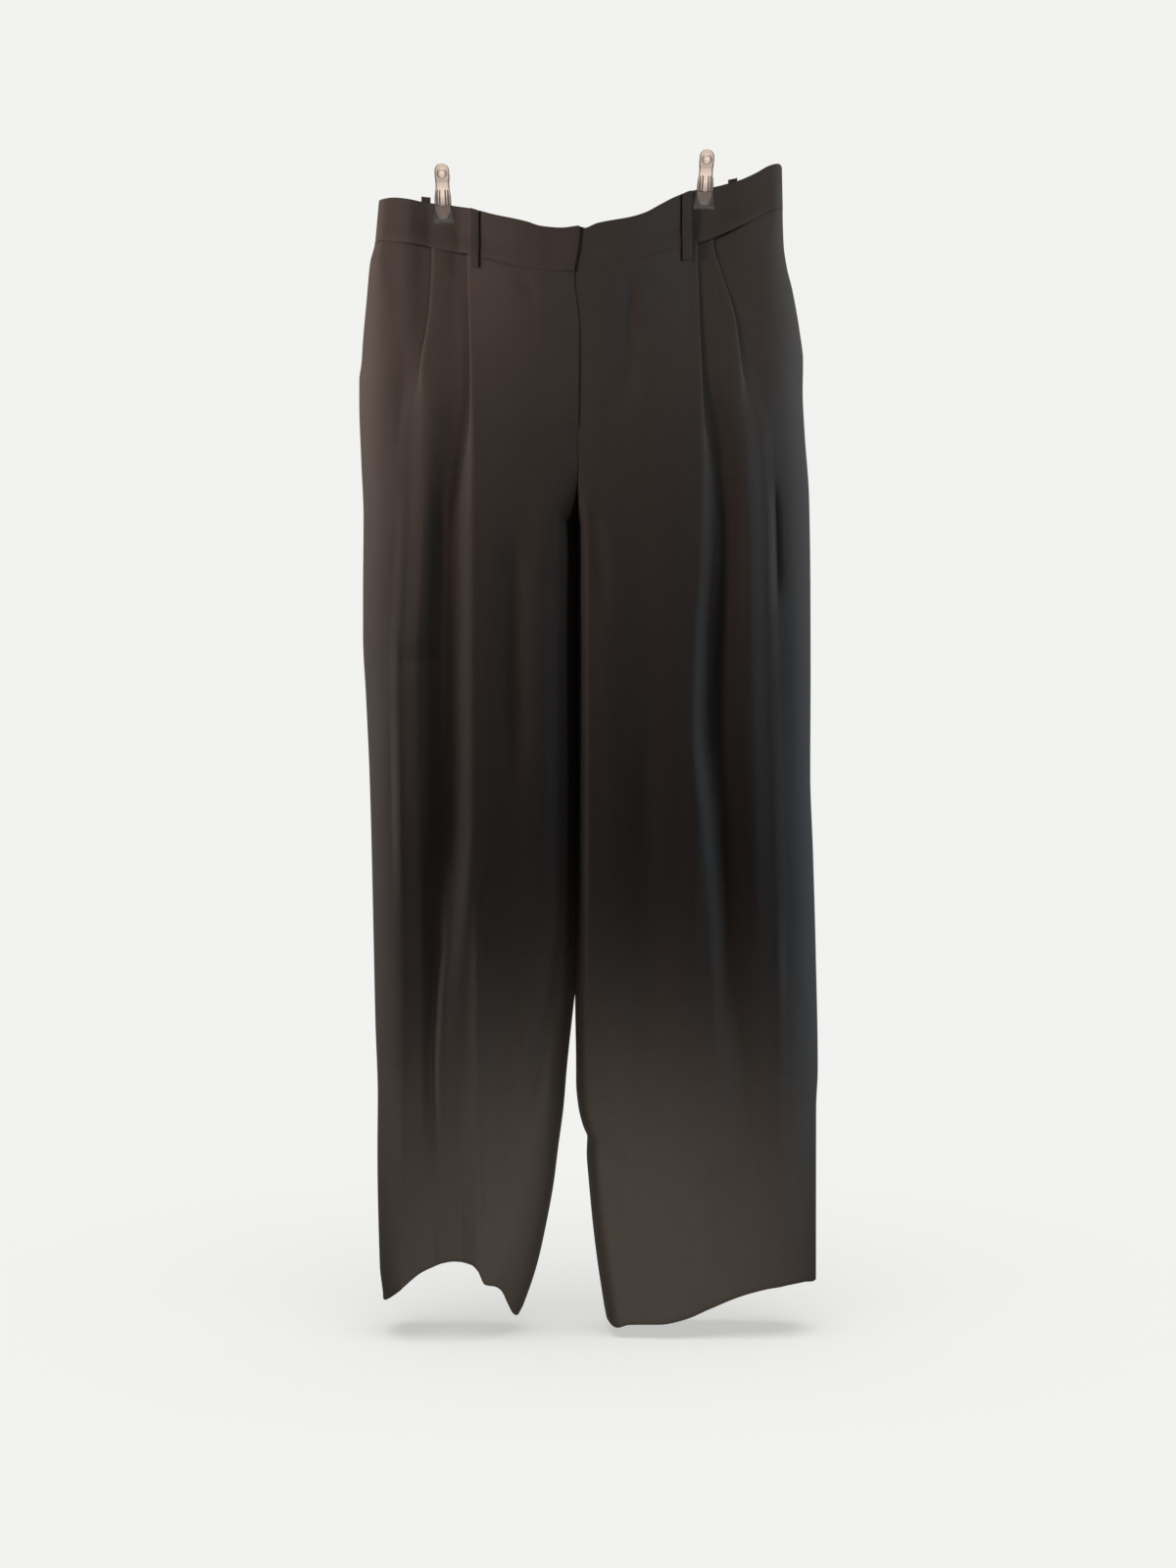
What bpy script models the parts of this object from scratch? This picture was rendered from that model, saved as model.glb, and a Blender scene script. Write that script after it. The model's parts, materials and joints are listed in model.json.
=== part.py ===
"""Pleated suit trousers, hung from two hanger clips.

Sizes are in millimetres. x runs from the centre-front line, z from the hole in the clip on the wearer's right,
and y from the middle of the garment, with the front at -y. Left and right are the wearer's, so the wearer's
right leg is at -x. Everything is parented to one empty, which moves that hole, in the clip's front lever, to the
origin.
"""

import math

import bmesh
import bpy
from mathutils import Matrix, Vector

MM = 0.001

# Cloth and seams
CLOTH = 1.2
BAND = 2.2
LOOP_CLOTH = 1.6
SEAM_GAP = 0.3

# How far the hips' fullness and the folds are below the waist seam and the waist
WAIST_TO_HIP = 165.0
FOLDS_FROM, FOLDS_FULL_AT = -70.0, -130.0
CROWN = 0.14

# Heights of the fork, where the two legs part
FORK_TOP_FRONT = -285.0
FORK_TOP_BACK = -245.0
CROTCH = -345.0
CROTCH_DEPTH = 6.0

# How far the legs lap where they touch, how deep and wide that reaches, where it ends, and how it comes and goes
LAP = 2.2
LAP_DEPTH = 14.0
LAP_WIDTH = 20.0
LAP_BOTTOM = -890.0
LAP_STARTS_OVER, LAP_ENDS_OVER = 30.0, 130.0

# Waistband
BAND_HEIGHT = 44.0
GRIP_ROW = 0.52
BAND_ROWS = (0.0, GRIP_ROW, 0.76, 1.0)
SIDE_FOLD_RADIUS = 9.0
FLY_STEP = 1.8
FLY_STEP_WIDTH = 26.0
UNDERLAP = 34.0

# Front fly
FLY_BOTTOM = -252.0
FLY_PROUD = 1.0
FLY_WIDTH = 30.0
SHIELD_WIDTH = 34.0

# Pockets in the side seams
POCKET_ROWS = (0.02, 0.05, 0.085, 0.12)
POCKET_GAPE = 2.8

# Belt loops: name, x of the middle, 1 on the back or -1 on the front, how far the top stands above the waistband
LOOPS = [
    ("front_right", -100.7, -1, -0.6),
    ("front_left", 106.8, -1, -0.6),
    ("back_right", -149.0, 1, 7.5),
    ("back_left", 152.5, 1, 7.0),
    ("back_centre", 0.0, 1, 1.0),
]
LOOP_WIDTH = 9.0
LOOP_BELOW_SEAM = 12.0
LOOP_STATIONS = (0.0, 0.12, 0.3, GRIP_ROW, 0.76, 1.0, 1.0 + LOOP_BELOW_SEAM / BAND_HEIGHT)
LOOP_STANDS_OFF = 1.4
LOOP_CLEAR = 0.4

# Hanger clips: name, x and z of the hole in the lever, how far the clip leans, in degrees
CLIPS = [("right", -132.4, 0.0, 1.5), ("left", 126.2, 13.7, -3.3)]
CLIP_STEEL = 0.9
CLIP_HOLE_RADIUS = 2.6
#   z from the hole, half width, distance from the middle plane, side turned in, ribs
CLIP_PLATE = [
    (9.0, 2.2, 11.6, 0.5, 0.0),
    (7.6, 4.6, 11.3, 0.6, 0.0),
    (4.6, 6.3, 10.6, 0.7, 0.0),
    (0.0, 6.8, 9.4, 0.8, 0.0),
    (-5.0, 6.6, 7.8, 1.6, 0.0),
    (-9.0, 6.3, 6.3, 4.2, 0.0),
    (-14.5, 6.5, 5.6, 4.6, 0.0),
    (-16.5, 6.9, 6.2, 3.4, 0.7),
    (-21.5, 7.4, 7.4, 1.6, 0.8),
    (-26.5, 7.6, 6.3, 0.7, 0.7),
    (-29.4, 7.6, 4.95, 0.4, 0.5),
    (-30.1, 7.6, 4.55, 0.4, 0.05),
    (-40.0, 6.4, 4.55, 0.4, 0.0),
    (-43.6, 4.0, 4.55, 0.4, 0.0),
]
CLIP_RIBS = (0.36, 0.19)
SPRING_Z = -11.8
SPRING_RADII = (2.6, 1.6)
SPRING_ROOM = 1.0
PIN_RADIUS = 1.3
CLIP_CUTTER = 40.0
GRIP_FACE = 2.7
GRIP_SLOT = (3.75, 5.35)
#   z, half width, front face from the middle plane
GRIP = [(-30.4, 8.9, 6.1), (-38.0, 9.8, 6.2), (-45.4, 10.9, 6.3), (-45.9, 11.0, 7.0), (-47.5, 11.1, 7.0)]

# Rows of the leg panels, as shares of the way from the waist seam to the hem, about PANEL_LENGTH long
PANEL_LENGTH = 1000.0
ROWS = (
    0.0, 0.02, 0.05, 0.085, 0.12, 0.155, 0.188, 0.217, 0.2346, 0.2434, 0.2463, 0.275,
    0.32, 0.38, 0.45, 0.52, 0.60, 0.68, 0.76, 0.84, 0.91, 0.96, 1.0,
)  # fmt: skip


class Curve:
    """A smooth line through rows of (at, value) that never swings past them, and is level beyond its ends."""

    def __init__(self, rows):
        rows = sorted(rows)
        self.at = [row[0] for row in rows]
        self.value = [row[1] for row in rows]
        steps = [
            (self.value[i + 1] - self.value[i]) / (self.at[i + 1] - self.at[i])
            for i in range(len(rows) - 1)
        ]
        self.slope = [0.0] * len(rows)
        for i in range(1, len(rows) - 1):
            before, after = steps[i - 1], steps[i]
            if before * after > 0:
                self.slope[i] = 2 * before * after / (before + after)

    def __call__(self, at):
        if at <= self.at[0]:
            return self.value[0]
        if at >= self.at[-1]:
            return self.value[-1]
        i = max(k for k in range(len(self.at) - 1) if self.at[k] <= at)
        span = self.at[i + 1] - self.at[i]
        t = (at - self.at[i]) / span
        return (
            (2 * t**3 - 3 * t**2 + 1) * self.value[i]
            + (t**3 - 2 * t**2 + t) * span * self.slope[i]
            + (3 * t**2 - 2 * t**3) * self.value[i + 1]
            + (t**3 - t**2) * span * self.slope[i + 1]
        )


def columns(rows, *wanted):
    """Curves of the wanted columns against a table's first column."""
    return [Curve([(row[0], row[n]) for row in rows]) for n in wanted]


def mix(a, b, share):
    return a + (b - a) * share


def ease(t):
    t = min(1.0, max(0.0, t))
    return t * t * (3 - 2 * t)


def quarter(t):
    """A quarter circle's height at t of its radius in from its foot, 1 beyond it."""
    t = min(1.0, max(0.0, t))
    return math.sqrt(1 - (1 - t) ** 2)


# The waistband: its top edge and the seam under it, seen from the front
#   x, top edge z
BAND_TOP = Curve(
    [
        (-195, -24.5), (-180, -23), (-150, -26.5), (-130, -28.5), (-111, -31.5), (-80, -41), (-50, -49),
        (-35, -54), (-14, -56), (2, -54.5), (6, -56.5), (19, -51.5), (50, -45), (65, -40), (81, -30.5), (96, -21.5),
        (111, -15), (127, -12.5), (142, -9.5), (157, -6.5), (173, 0), (188, 8), (197, 10), (201, 7),
    ]
)  # fmt: skip
#   x, waist seam z
WAIST_SEAM = Curve(
    [
        (-199, -65.5), (-153, -69.5), (-130, -74), (-104, -79), (-83, -86), (-58, -93), (-15, -99), (2, -99.5),
        (17, -97), (46, -90), (66, -83), (101, -72), (125, -65), (151, -55), (171, -45.5), (182, -40), (202, -33),
    ]
)  # fmt: skip

# How far the waistband stands from the middle plane, at its top edge, where the clips end, and at the seam.
# It is pinched flat between each clip's jaws and bows away from them on both sides.
#   x, top, clip end, seam
FRONT_WAIST = [
    (-186, 7.0, 8.5, 12.0),
    (-166, 7.0, 8.5, 13.0),
    (-153, 3.6, 4.2, 10.5),
    (-144, 1.3, 1.3, 8.2),
    (-118, 1.3, 1.3, 8.2),
    (-109, 3.6, 4.2, 11.0),
    (-90, 9.5, 11.0, 16.0),
    (-60, 17.0, 19.0, 23.0),
    (-30, 21.0, 23.5, 27.0),
    (0, 22.0, 24.5, 28.0),
    (30, 21.0, 23.5, 27.0),
    (60, 17.0, 19.0, 23.0),
    (85, 9.8, 11.5, 17.0),
    (101, 3.6, 4.2, 12.0),
    (110, 1.3, 1.3, 9.0),
    (137, 1.3, 1.3, 9.0),
    (147, 3.8, 4.4, 11.5),
    (162, 8.0, 9.5, 14.0),
    (188, 9.0, 11.0, 14.0),
]
BACK_WAIST = [
    (-186, 7.0, 9.0, 13.0),
    (-166, 7.5, 9.5, 14.0),
    (-153, 4.0, 5.0, 12.0),
    (-144, 1.3, 1.3, 9.5),
    (-118, 1.3, 1.3, 9.5),
    (-109, 4.0, 5.0, 12.5),
    (-90, 10.5, 12.5, 19.0),
    (-60, 19.0, 22.0, 28.0),
    (0, 26.0, 29.5, 36.0),
    (60, 19.0, 22.0, 28.0),
    (85, 11.0, 13.0, 20.0),
    (101, 4.0, 5.0, 13.0),
    (110, 1.3, 1.3, 10.0),
    (137, 1.3, 1.3, 10.0),
    (147, 4.0, 5.0, 12.5),
    (162, 8.0, 10.0, 15.0),
    (188, 9.0, 11.0, 15.0),
]
SEAM_DEPTH = {
    "front": columns(FRONT_WAIST, 3)[0],
    "back": columns(BACK_WAIST, 3)[0],
}


class Leg:
    """One leg's outline from the front, its depth and its folds."""

    def __init__(self, side, outer, inner, hem, depth, pleats, folds, back_folds):
        self.side = side
        self.outer = Curve(outer)
        self.inner = Curve(inner)
        self.hem = Curve(hem)
        self.hem_out = max(hem, key=lambda row: side * row[0])[0]
        self.hem_in = min(hem, key=lambda row: side * row[0])[0]
        self.seam_out, self.seam_in = outer[0][1], inner[0][1]
        self.front_depth, self.back_depth, self.out_radius, self.in_radius, self.middle = columns(
            depth, 1, 2, 3, 4, 5
        )
        self.pleats = [columns(rows, 1, 2, 3, 4) for rows in pleats]
        self.folds = [columns(rows, 1, 2, 3) for rows in folds]
        self.back_folds = [columns(rows, 1, 2, 3) for rows in back_folds]

    def height(self, share, q):
        """z at a share of the way down, q of the way in from the side seam."""
        seam = WAIST_SEAM(mix(self.seam_out, self.seam_in, q)) - SEAM_GAP
        hem = self.hem(mix(self.hem_out, self.hem_in, q))
        return mix(seam, hem, share)

    def edges(self, share):
        return self.outer(self.height(share, 0.0)), self.inner(self.height(share, 1.0))

    def across(self, share, x):
        out, inner = self.edges(share)
        return min(1.0, max(0.0, (x - out) / (inner - out)))

    def at(self, line, share):
        """Where a line that is tabled against z meets the row at this share."""
        x = line(self.height(share, 0.5))
        for _ in range(3):
            x = line(self.height(share, self.across(share, x)))
        return x

    def fold_depth(self, folds, x, z):
        """How far the folds press the cloth in at this place; a ridge is negative."""
        return sum(
            depth(z) * math.exp(-(((x - line(z)) / width(z)) ** 2))
            for line, depth, width in folds
        )


RIGHT_LEG = Leg(
    side=-1,
    #      z, x of the side seam
    outer=[
        (-65, -198.7), (-86, -203.5), (-125, -207), (-163, -210.5), (-184, -212), (-201, -214.2), (-221, -214.2),
        (-278, -212.3), (-336, -210), (-403, -210.5), (-451, -210.5), (-509, -207.6), (-586, -204), (-653, -202),
        (-739, -200), (-826, -198), (-902, -195.5), (-950, -195.8), (-1066, -193.2), (-1096, -190),
    ],
    #      z, x of the fly edge above the fork and of the inseam below it
    inner=[
        (-99, -2.9), (-112, -2.9), (-130, -0.4), (-157, 1.9), (-250, 1.0), (-300, 0.6), (-345, 0.8), (-380, 1.4),
        (-499, 1.4), (-653, 0.7), (-739, -0.3), (-787, -1.8), (-816, -4.4), (-874, -10.4), (-912, -13.6),
        (-950, -18.6), (-989, -23.6), (-1027, -30.6), (-1066, -39.3), (-1106, -52.8), (-1117, -57.6),
    ],
    #    x, z of the hem
    hem=[
        (-190, -1096), (-182, -1090), (-171, -1080), (-148, -1061), (-136, -1056), (-119, -1052.5), (-102, -1054.5),
        (-95, -1060), (-88.5, -1072.5), (-78, -1076), (-72, -1082), (-66, -1097), (-61, -1110), (-57.6, -1114),
    ],
    #      z, front depth, back depth, radius at the side seam, radius at the inseam, middle's y
    depth=[
        (-65, 14, 16, 10, 20, 0),
        (-130, 26, 30, 26, 22, 0),
        (-200, 36, 44, 38, 26, 1),
        (-330, 42, 52, 40, 27, 2),
        (-450, 43, 48, 40, 22, 2),
        (-650, 42, 42, 38, 18, 0),
        (-850, 44, 42, 34, 26, -2),
        (-1000, 50, 44, 28, 28, -3),
        (-1100, 54, 46, 24, 26, -4),
    ],
    # Each pleat and the fold it falls into: z, x of its edge, cloth under it, its height, how far it has opened
    pleats=[
        [
            (-72, -141.3, 22, 3.3, 0), (-128, -143.2, 16, 3.5, 0), (-197, -149.8, 7, 4.6, 0.3),
            (-237, -147, 2, 5.5, 0.8), (-307, -147, 0, 5, 1), (-420, -150.6, 0, 4.5, 1), (-467, -153.5, 0, 3.5, 1),
            (-600, -152, 0, 2.5, 1), (-800, -149, 0, 0, 1),
        ],
        [
            (-76, -106.6, 26, 3.3, 0), (-134, -105, 20, 3.7, 0), (-211, -101.9, 10, 6, 0.15),
            (-288, -100.4, 3, 11, 0.6), (-365, -100.4, 0, 15, 1), (-624, -100.4, 0, 15, 1), (-739, -105.8, 0, 10, 1),
            (-800, -110.7, 0, 5, 1), (-870, -112.7, 0, 2, 1), (-980, -111, 0, 0, 1),
        ],
    ],
    # Front folds: z, x, depth, half width
    folds=[
        [(-600, -150, 0, 10), (-700, -147, 4, 12), (-790, -139, 8, 13), (-853, -139, 9, 14), (-936, -129, 9, 15),
         (-1070, -117, 8, 15)],
        [(-700, -93, 0, 9), (-800, -93, -4, 9), (-1080, -93, -5, 10)],
        [(-720, -20, 0, 8), (-780, -24, 5, 8), (-850, -35, 6, 9), (-907, -46, 4, 9), (-960, -51, 0, 9)],
        [(-330, -61, 0, 12), (-400, -61, 3, 12), (-520, -61, 3, 12), (-620, -61, 0, 12)],
    ],
    back_folds=[
        [(-110, -92, 2, 16), (-250, -96, 6, 18), (-420, -100, 9, 18), (-700, -104, 9, 17), (-900, -108, 6, 16),
         (-1090, -112, 3, 16)],
        [(-300, -42, 0, 14), (-480, -44, 6, 15), (-760, -52, 7, 14), (-1000, -66, 3, 12)],
        [(-200, -158, 0, 14), (-380, -156, 5, 15), (-640, -152, 4, 15), (-900, -150, 6, 14), (-1080, -148, 5, 13)],
    ],
)  # fmt: skip

LEFT_LEG = Leg(
    side=1,
    outer=[
        (-33, 201), (-67, 202), (-91, 205.3), (-110, 210), (-130, 214), (-154, 218), (-182, 221.2), (-211, 220.8),
        (-250, 222.6), (-317, 227.2), (-403, 228.4), (-490, 228.6), (-586, 228.2), (-662, 230.8), (-758, 233.4),
        (-874, 235.4), (-912, 233.8), (-1080, 233.6),
    ],
    inner=[
        (-99, -2.9), (-112, -2.9), (-130, -0.4), (-157, 1.9), (-250, 1.0), (-300, 0.9), (-345, 1.2), (-380, 1.9),
        (-499, 1.9), (-653, 1.2), (-739, 0.2), (-787, -1.2), (-840, -1.6), (-888, -1.6), (-912, 0.6), (-931, 5.4),
        (-941, 9.4), (-958, 8.8), (-980, 10.4), (-1027, 14.8), (-1066, 19.6), (-1104, 25.4), (-1124, 28.4),
    ],
    hem=[
        (28.8, -1117), (36.5, -1119.5), (50, -1115.5), (81, -1114.5), (104, -1109.5), (127, -1099.5), (157, -1087.5),
        (188, -1079.5), (219, -1076), (233.5, -1079),
    ],
    depth=[
        (-33, 14, 16, 10, 20, 0),
        (-110, 26, 30, 26, 20, 0),
        (-200, 36, 44, 40, 14, 1),
        (-330, 42, 52, 42, 9, 2),
        (-450, 44, 50, 42, 9, 2),
        (-650, 44, 44, 40, 10, 1),
        (-850, 44, 42, 40, 12, 0),
        (-1000, 44, 42, 38, 14, 0),
        (-1110, 44, 42, 36, 16, 0),
    ],
    pleats=[
        [
            (-62, 131, 11, 3.3, 0), (-105, 142, 11, 3.4, 0), (-143, 152, 10, 3.8, 0.05), (-183, 155.4, 6, 4.6, 0.25),
            (-227, 157, 3, 5.5, 0.6), (-254, 160, 1, 6, 0.9), (-365, 165, 0, 6.5, 1), (-467, 166, 0, 6, 1),
            (-557, 168, 0, 4.5, 1), (-653, 171.2, 0, 3, 1), (-749, 173.4, 0, 1.5, 1), (-860, 175, 0, 0, 1),
        ],
        [
            (-66, 115.8, 26, 3.3, 0), (-134, 117.5, 20, 3.7, 0), (-211, 119, 10, 6, 0.15), (-288, 119.8, 3, 11, 0.6),
            (-380, 117, 0, 16, 1), (-466, 111.5, 0, 18, 1), (-547, 109.5, 0, 18, 1), (-624, 116, 0, 16, 1),
            (-749, 126.4, 0, 13, 1), (-826, 130.2, 0, 9, 1), (-883, 134.6, 0, 5, 1), (-960, 135.6, 0, 2.5, 1),
            (-1100, 134, 0, 1, 1),
        ],
    ],
    folds=[
        [(-90, 52, 0, 5), (-115, 52, 3, 5), (-145, 51, 3, 6), (-200, 51, 1.5, 8), (-240, 51, 0, 8)],
        [(-290, 187, 0, 8), (-340, 187, 3, 9), (-390, 190, 2, 9), (-430, 191, 0, 9)],
        [(-500, 59, 0, 20), (-650, 61, 4, 22), (-850, 65, 4, 22), (-1000, 69, 0, 20)],
    ],
    back_folds=[
        [(-110, 92, 2, 16), (-250, 98, 6, 18), (-430, 106, 9, 18), (-700, 112, 9, 18), (-920, 118, 5, 18),
         (-1090, 122, 3, 18)],
        [(-300, 44, 0, 14), (-500, 48, 6, 16), (-800, 56, 7, 16), (-1050, 70, 4, 15)],
        [(-200, 166, 0, 14), (-420, 168, 5, 16), (-700, 174, 5, 16), (-1080, 178, 3, 16)],
    ],
)  # fmt: skip
LEGS = {"right": RIGHT_LEG, "left": LEFT_LEG}

# Shape of a pleat's seven points, as (x in units of the cloth under it, x in units of the bend radius, height share).
# Closed, it runs under its edge and back again. Open, it is a slope up to its edge, in units of its width.
PLEAT_CLOSED = (
    (0.0, None, 1.0), (1.0, 0.0, 1.0), (1.0, 1.0, 0.75), (1.0, 0.0, 0.5), (0.0, 0.0, 0.5), (0.0, -1.0, 0.25),
    (0.0, 0.0, 0.0),
)  # fmt: skip
PLEAT_OPEN = ((1.45, 0.98), (1.0, 1.0), (0.78, 0.9), (0.58, 0.66), (0.38, 0.36), (0.18, 0.1), (0.0, 0.0))
PLEAT_LEAD = 9.0
PLEAT_SLOPE = 17.0
PLEAT_REACH = 44.0


def fork(leg, share, panel):
    """How far the centre seam has turned in under the body, from 0 above the fork to 1 at the inseam."""
    z = leg.height(share, 1.0)
    top = FORK_TOP_FRONT if panel == "front" else FORK_TOP_BACK
    t = min(1.0, max(0.0, (top - z) / (top - CROTCH)))
    return 1 - math.sqrt(max(0.0, 1 - t * t))


def centre_facing(leg, panel, share):
    """The way a panel's centre edge faces: to the front or back, until the fork turns it to the inseam."""
    turn = fork(leg, share, panel)
    forward = -1 if panel == "front" else 1
    angle = math.pi / 2 * min(1.0, 0.3 + 2 * turn) if turn > 0 else 0.0
    return -leg.side * math.sin(angle), forward * math.cos(angle)


def row_ends(leg, panel, share):
    """x of a row's middle line at the side seam and at the centre or inseam."""
    out, inner = leg.edges(share)
    centre = inner if panel == "front" else mix(0.0, inner, ease(fork(leg, share, panel)))
    turned = abs(centre_facing(leg, panel, share)[0])
    first = out - leg.side * CLOTH / 2
    return first, centre + leg.side * (SEAM_GAP / 2 + turned * CLOTH / 2)


def pocket_gape(panel, share):
    """How far the front's edge stands off the side seam at the pocket's mouth."""
    t = (share - POCKET_ROWS[0]) / (POCKET_ROWS[-1] - POCKET_ROWS[0])
    return POCKET_GAPE * math.sin(math.pi * t) ** 2 if panel == "front" and 0 < t < 1 else 0.0


def body_depth(leg, panel, share, x):
    """How far the cloth stands from the middle plane, before its edges turn in and before its folds."""
    z = leg.height(share, leg.across(share, x))
    q = leg.across(share, x)
    below = (WAIST_SEAM(mix(leg.seam_out, leg.seam_in, q)) - z) / WAIST_TO_HIP
    leg_depth = (leg.front_depth if panel == "front" else leg.back_depth)(z)
    crown = 1 - CROWN + CROWN * math.sin(math.pi * q)
    depth = mix(SEAM_DEPTH[panel](x), leg_depth * crown, ease(below))
    if panel == "front" and leg.side < 0 and z > FLY_BOTTOM:
        depth += FLY_PROUD * ease(1 - abs(x - leg.inner(z)) / FLY_WIDTH)
    return depth


def surface_y(leg, panel, share, x, press=0.0):
    """y of the middle of the cloth at x in this row. press moves it towards the middle of the garment."""
    forward = -1 if panel == "front" else 1
    first, last = row_ends(leg, panel, share)
    z = leg.height(share, leg.across(share, x))
    folds = leg.folds if panel == "front" else leg.back_folds
    edge_share = quarter(leg.side * (first - x) / leg.out_radius(z))
    folded = ease((FOLDS_FROM - z) / (FOLDS_FROM - FOLDS_FULL_AT))
    depth = body_depth(leg, panel, share, x) - press - leg.fold_depth(folds, x, z) * folded
    at_edge = SEAM_GAP / 2 + pocket_gape(panel, share)
    y = leg.middle(z) + forward * math.hypot(at_edge, depth * edge_share)
    turn = fork(leg, share, panel)
    if turn > 0:
        end = mix(y, CROTCH_DEPTH + forward * SEAM_GAP / 2, turn)
        y = mix(end, y, quarter(leg.side * (x - last) / leg.in_radius(z)))
    return y


def lapped(leg, share, path):
    """A row's points in space. Near the inseams they move sideways, so that the left leg laps the right in front."""
    points = []
    for x, y in path:
        z = leg.height(share, leg.across(share, x))
        off = (y - CROTCH_DEPTH) / LAP_DEPTH
        held = ease((FORK_TOP_FRONT - z) / LAP_STARTS_OVER) * ease((z - LAP_BOTTOM) / LAP_ENDS_OVER)
        near = math.exp(0.5 - off**2 / 2 - (x / LAP_WIDTH) ** 2)
        points.append((x + LAP * off * near * held, y, z))
    return points


def pleat_points(leg, pleat, share, sunk):
    """One pleat's points from the side seam inwards, and how deep the cloth lies outside it."""
    line, under, height, opened = pleat
    edge = leg.at(line, share)
    z = leg.height(share, leg.across(share, edge))
    cloth, rise, open_share = under(z), height(z), opened(z)
    points = []
    for (run, bend, up), (slope, open_up) in zip(PLEAT_CLOSED, PLEAT_OPEN):
        closed_x = PLEAT_LEAD * leg.side if bend is None else -leg.side * (run * cloth + bend * rise / 4)
        open_x = leg.side * slope * PLEAT_SLOPE
        x = edge + mix(closed_x, open_x, open_share)
        press = sunk + rise * mix(up, open_up, open_share)
        points.append((x, surface_y(leg, "front", share, edge if bend is not None else x, press)))
    return edge, rise, points


def spread(start, end, count):
    """count places between start and end, not counting either."""
    return [mix(start, end, (n + 1) / (count + 1)) for n in range(count)]


def rounded(edge, inwards, radius, count):
    """Places from an edge inwards, closer together where the cloth turns."""
    return [edge + inwards * radius * (1 - math.cos(math.pi / 2 * n / count)) for n in range(count + 1)]


def front_row(leg, share):
    """The middle line of one row of a front panel, from the side seam to the centre, as (x, y, z)."""
    first, last = row_ends(leg, "front", share)
    z_out, z_in = leg.height(share, 0.0), leg.height(share, 1.0)
    side_places = rounded(first, -leg.side, leg.out_radius(z_out), 3)
    centre_places = rounded(last, leg.side, leg.in_radius(z_in), 3)[::-1]
    inner_edge, inner_rise, inner_points = pleat_points(leg, leg.pleats[1], share, 0.0)
    gap = abs(leg.at(leg.pleats[0][0], share) - inner_edge)
    sunk = inner_rise * (1 - ease(gap / PLEAT_REACH))
    outer_edge, outer_rise, outer_points = pleat_points(leg, leg.pleats[0], share, sunk)

    def outside(x):
        return (sunk + outer_rise) * (1 - ease(abs(x - outer_edge) / PLEAT_REACH))

    path = [(x, surface_y(leg, "front", share, x, outside(x))) for x in side_places]
    path += [
        (x, surface_y(leg, "front", share, x, outside(x)))
        for x in spread(side_places[-1], outer_points[0][0], 1)
    ]
    path += outer_points
    between = mix(outer_points[-1][0], inner_points[0][0], 0.5)
    path.append((between, surface_y(leg, "front", share, between, mix(sunk, inner_rise, 0.45))))
    path += inner_points
    path += [
        (x, surface_y(leg, "front", share, x))
        for x in spread(inner_points[-1][0], centre_places[0], 5)
    ]
    path += [(x, surface_y(leg, "front", share, x)) for x in centre_places]
    return lapped(leg, share, path)


def back_row(leg, share):
    """The middle line of one row of a back panel, from the side seam to the centre."""
    first, last = row_ends(leg, "back", share)
    z_out, z_in = leg.height(share, 0.0), leg.height(share, 1.0)
    side_places = rounded(first, -leg.side, leg.out_radius(z_out), 3)
    centre_places = rounded(last, leg.side, leg.in_radius(z_in), 3)[::-1]
    places = side_places + spread(side_places[-1], centre_places[0], 8) + centre_places
    path = [(x, surface_y(leg, "back", share, x)) for x in places]
    return lapped(leg, share, path)


def wall(path, thickness, outward, ends=(None, None)):
    """The two faces of a wall about a middle line. outward is 1 where the outer face is on the line's left.

    ends gives the ways that the wall's first and last edges face, where its run doesn't set them.
    """
    outer, inner = [], []
    for n, (x, y, z) in enumerate(path):
        ahead = Vector(path[min(n + 1, len(path) - 1)][:2]) - Vector((x, y))
        behind = Vector((x, y)) - Vector(path[max(n - 1, 0)][:2])
        steps = [step.normalized() for step in (behind, ahead) if step.length > 1e-6]
        normals = [Vector((-step.y, step.x)) * outward for step in steps]
        normal = sum(normals, Vector((0, 0))).normalized()
        reach = thickness / 2 / max(0.78, normal.dot(normals[0]))
        if n == 0 and ends[0]:
            normal, reach = Vector(ends[0]), thickness / 2
        if n == len(path) - 1 and ends[1]:
            normal, reach = Vector(ends[1]), thickness / 2
        outer.append((x + normal.x * reach, y + normal.y * reach, z))
        inner.append((x - normal.x * reach, y - normal.y * reach, z))
    return outer, inner


def finish(name, bm, material, place):
    """Makes a bmesh, in millimetres, an object on an empty."""
    bmesh.ops.recalc_face_normals(bm, faces=bm.faces)
    bmesh.ops.scale(bm, verts=bm.verts, vec=(MM, MM, MM))
    mesh = bpy.data.meshes.new(name)
    bm.to_mesh(mesh)
    bm.free()
    mesh.materials.append(material)
    mesh.shade_smooth()
    mesh.set_sharp_from_angle(angle=math.radians(40))
    obj = bpy.data.objects.new(name, mesh)
    bpy.context.scene.collection.objects.link(obj)
    obj.parent = place
    return obj


def walled(name, faces, material, place):
    """A wall between two grids of points, given row by row: a grid laid on the outer one, extruded to the inner."""
    outer_rows, inner_rows = zip(*faces)
    rows, count = len(outer_rows), len(outer_rows[0])
    bm = bmesh.new()
    bmesh.ops.create_grid(bm, x_segments=count - 1, y_segments=rows - 1, size=1)
    order = bm.verts.layers.int.new("order")
    bm.verts.ensure_lookup_table()
    for n, vert in enumerate(bm.verts):
        vert[order] = n
        vert.co = outer_rows[n // count][n % count]
    sheet = bm.faces[:] + bm.edges[:] + bm.verts[:]
    made = bmesh.ops.extrude_face_region(bm, geom=sheet, use_keep_orig=True)
    for item in made["geom"]:
        if isinstance(item, bmesh.types.BMVert):
            n = item[order]
            item.co = inner_rows[n // count][n % count]
    return finish(name, bm, material, place)


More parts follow.
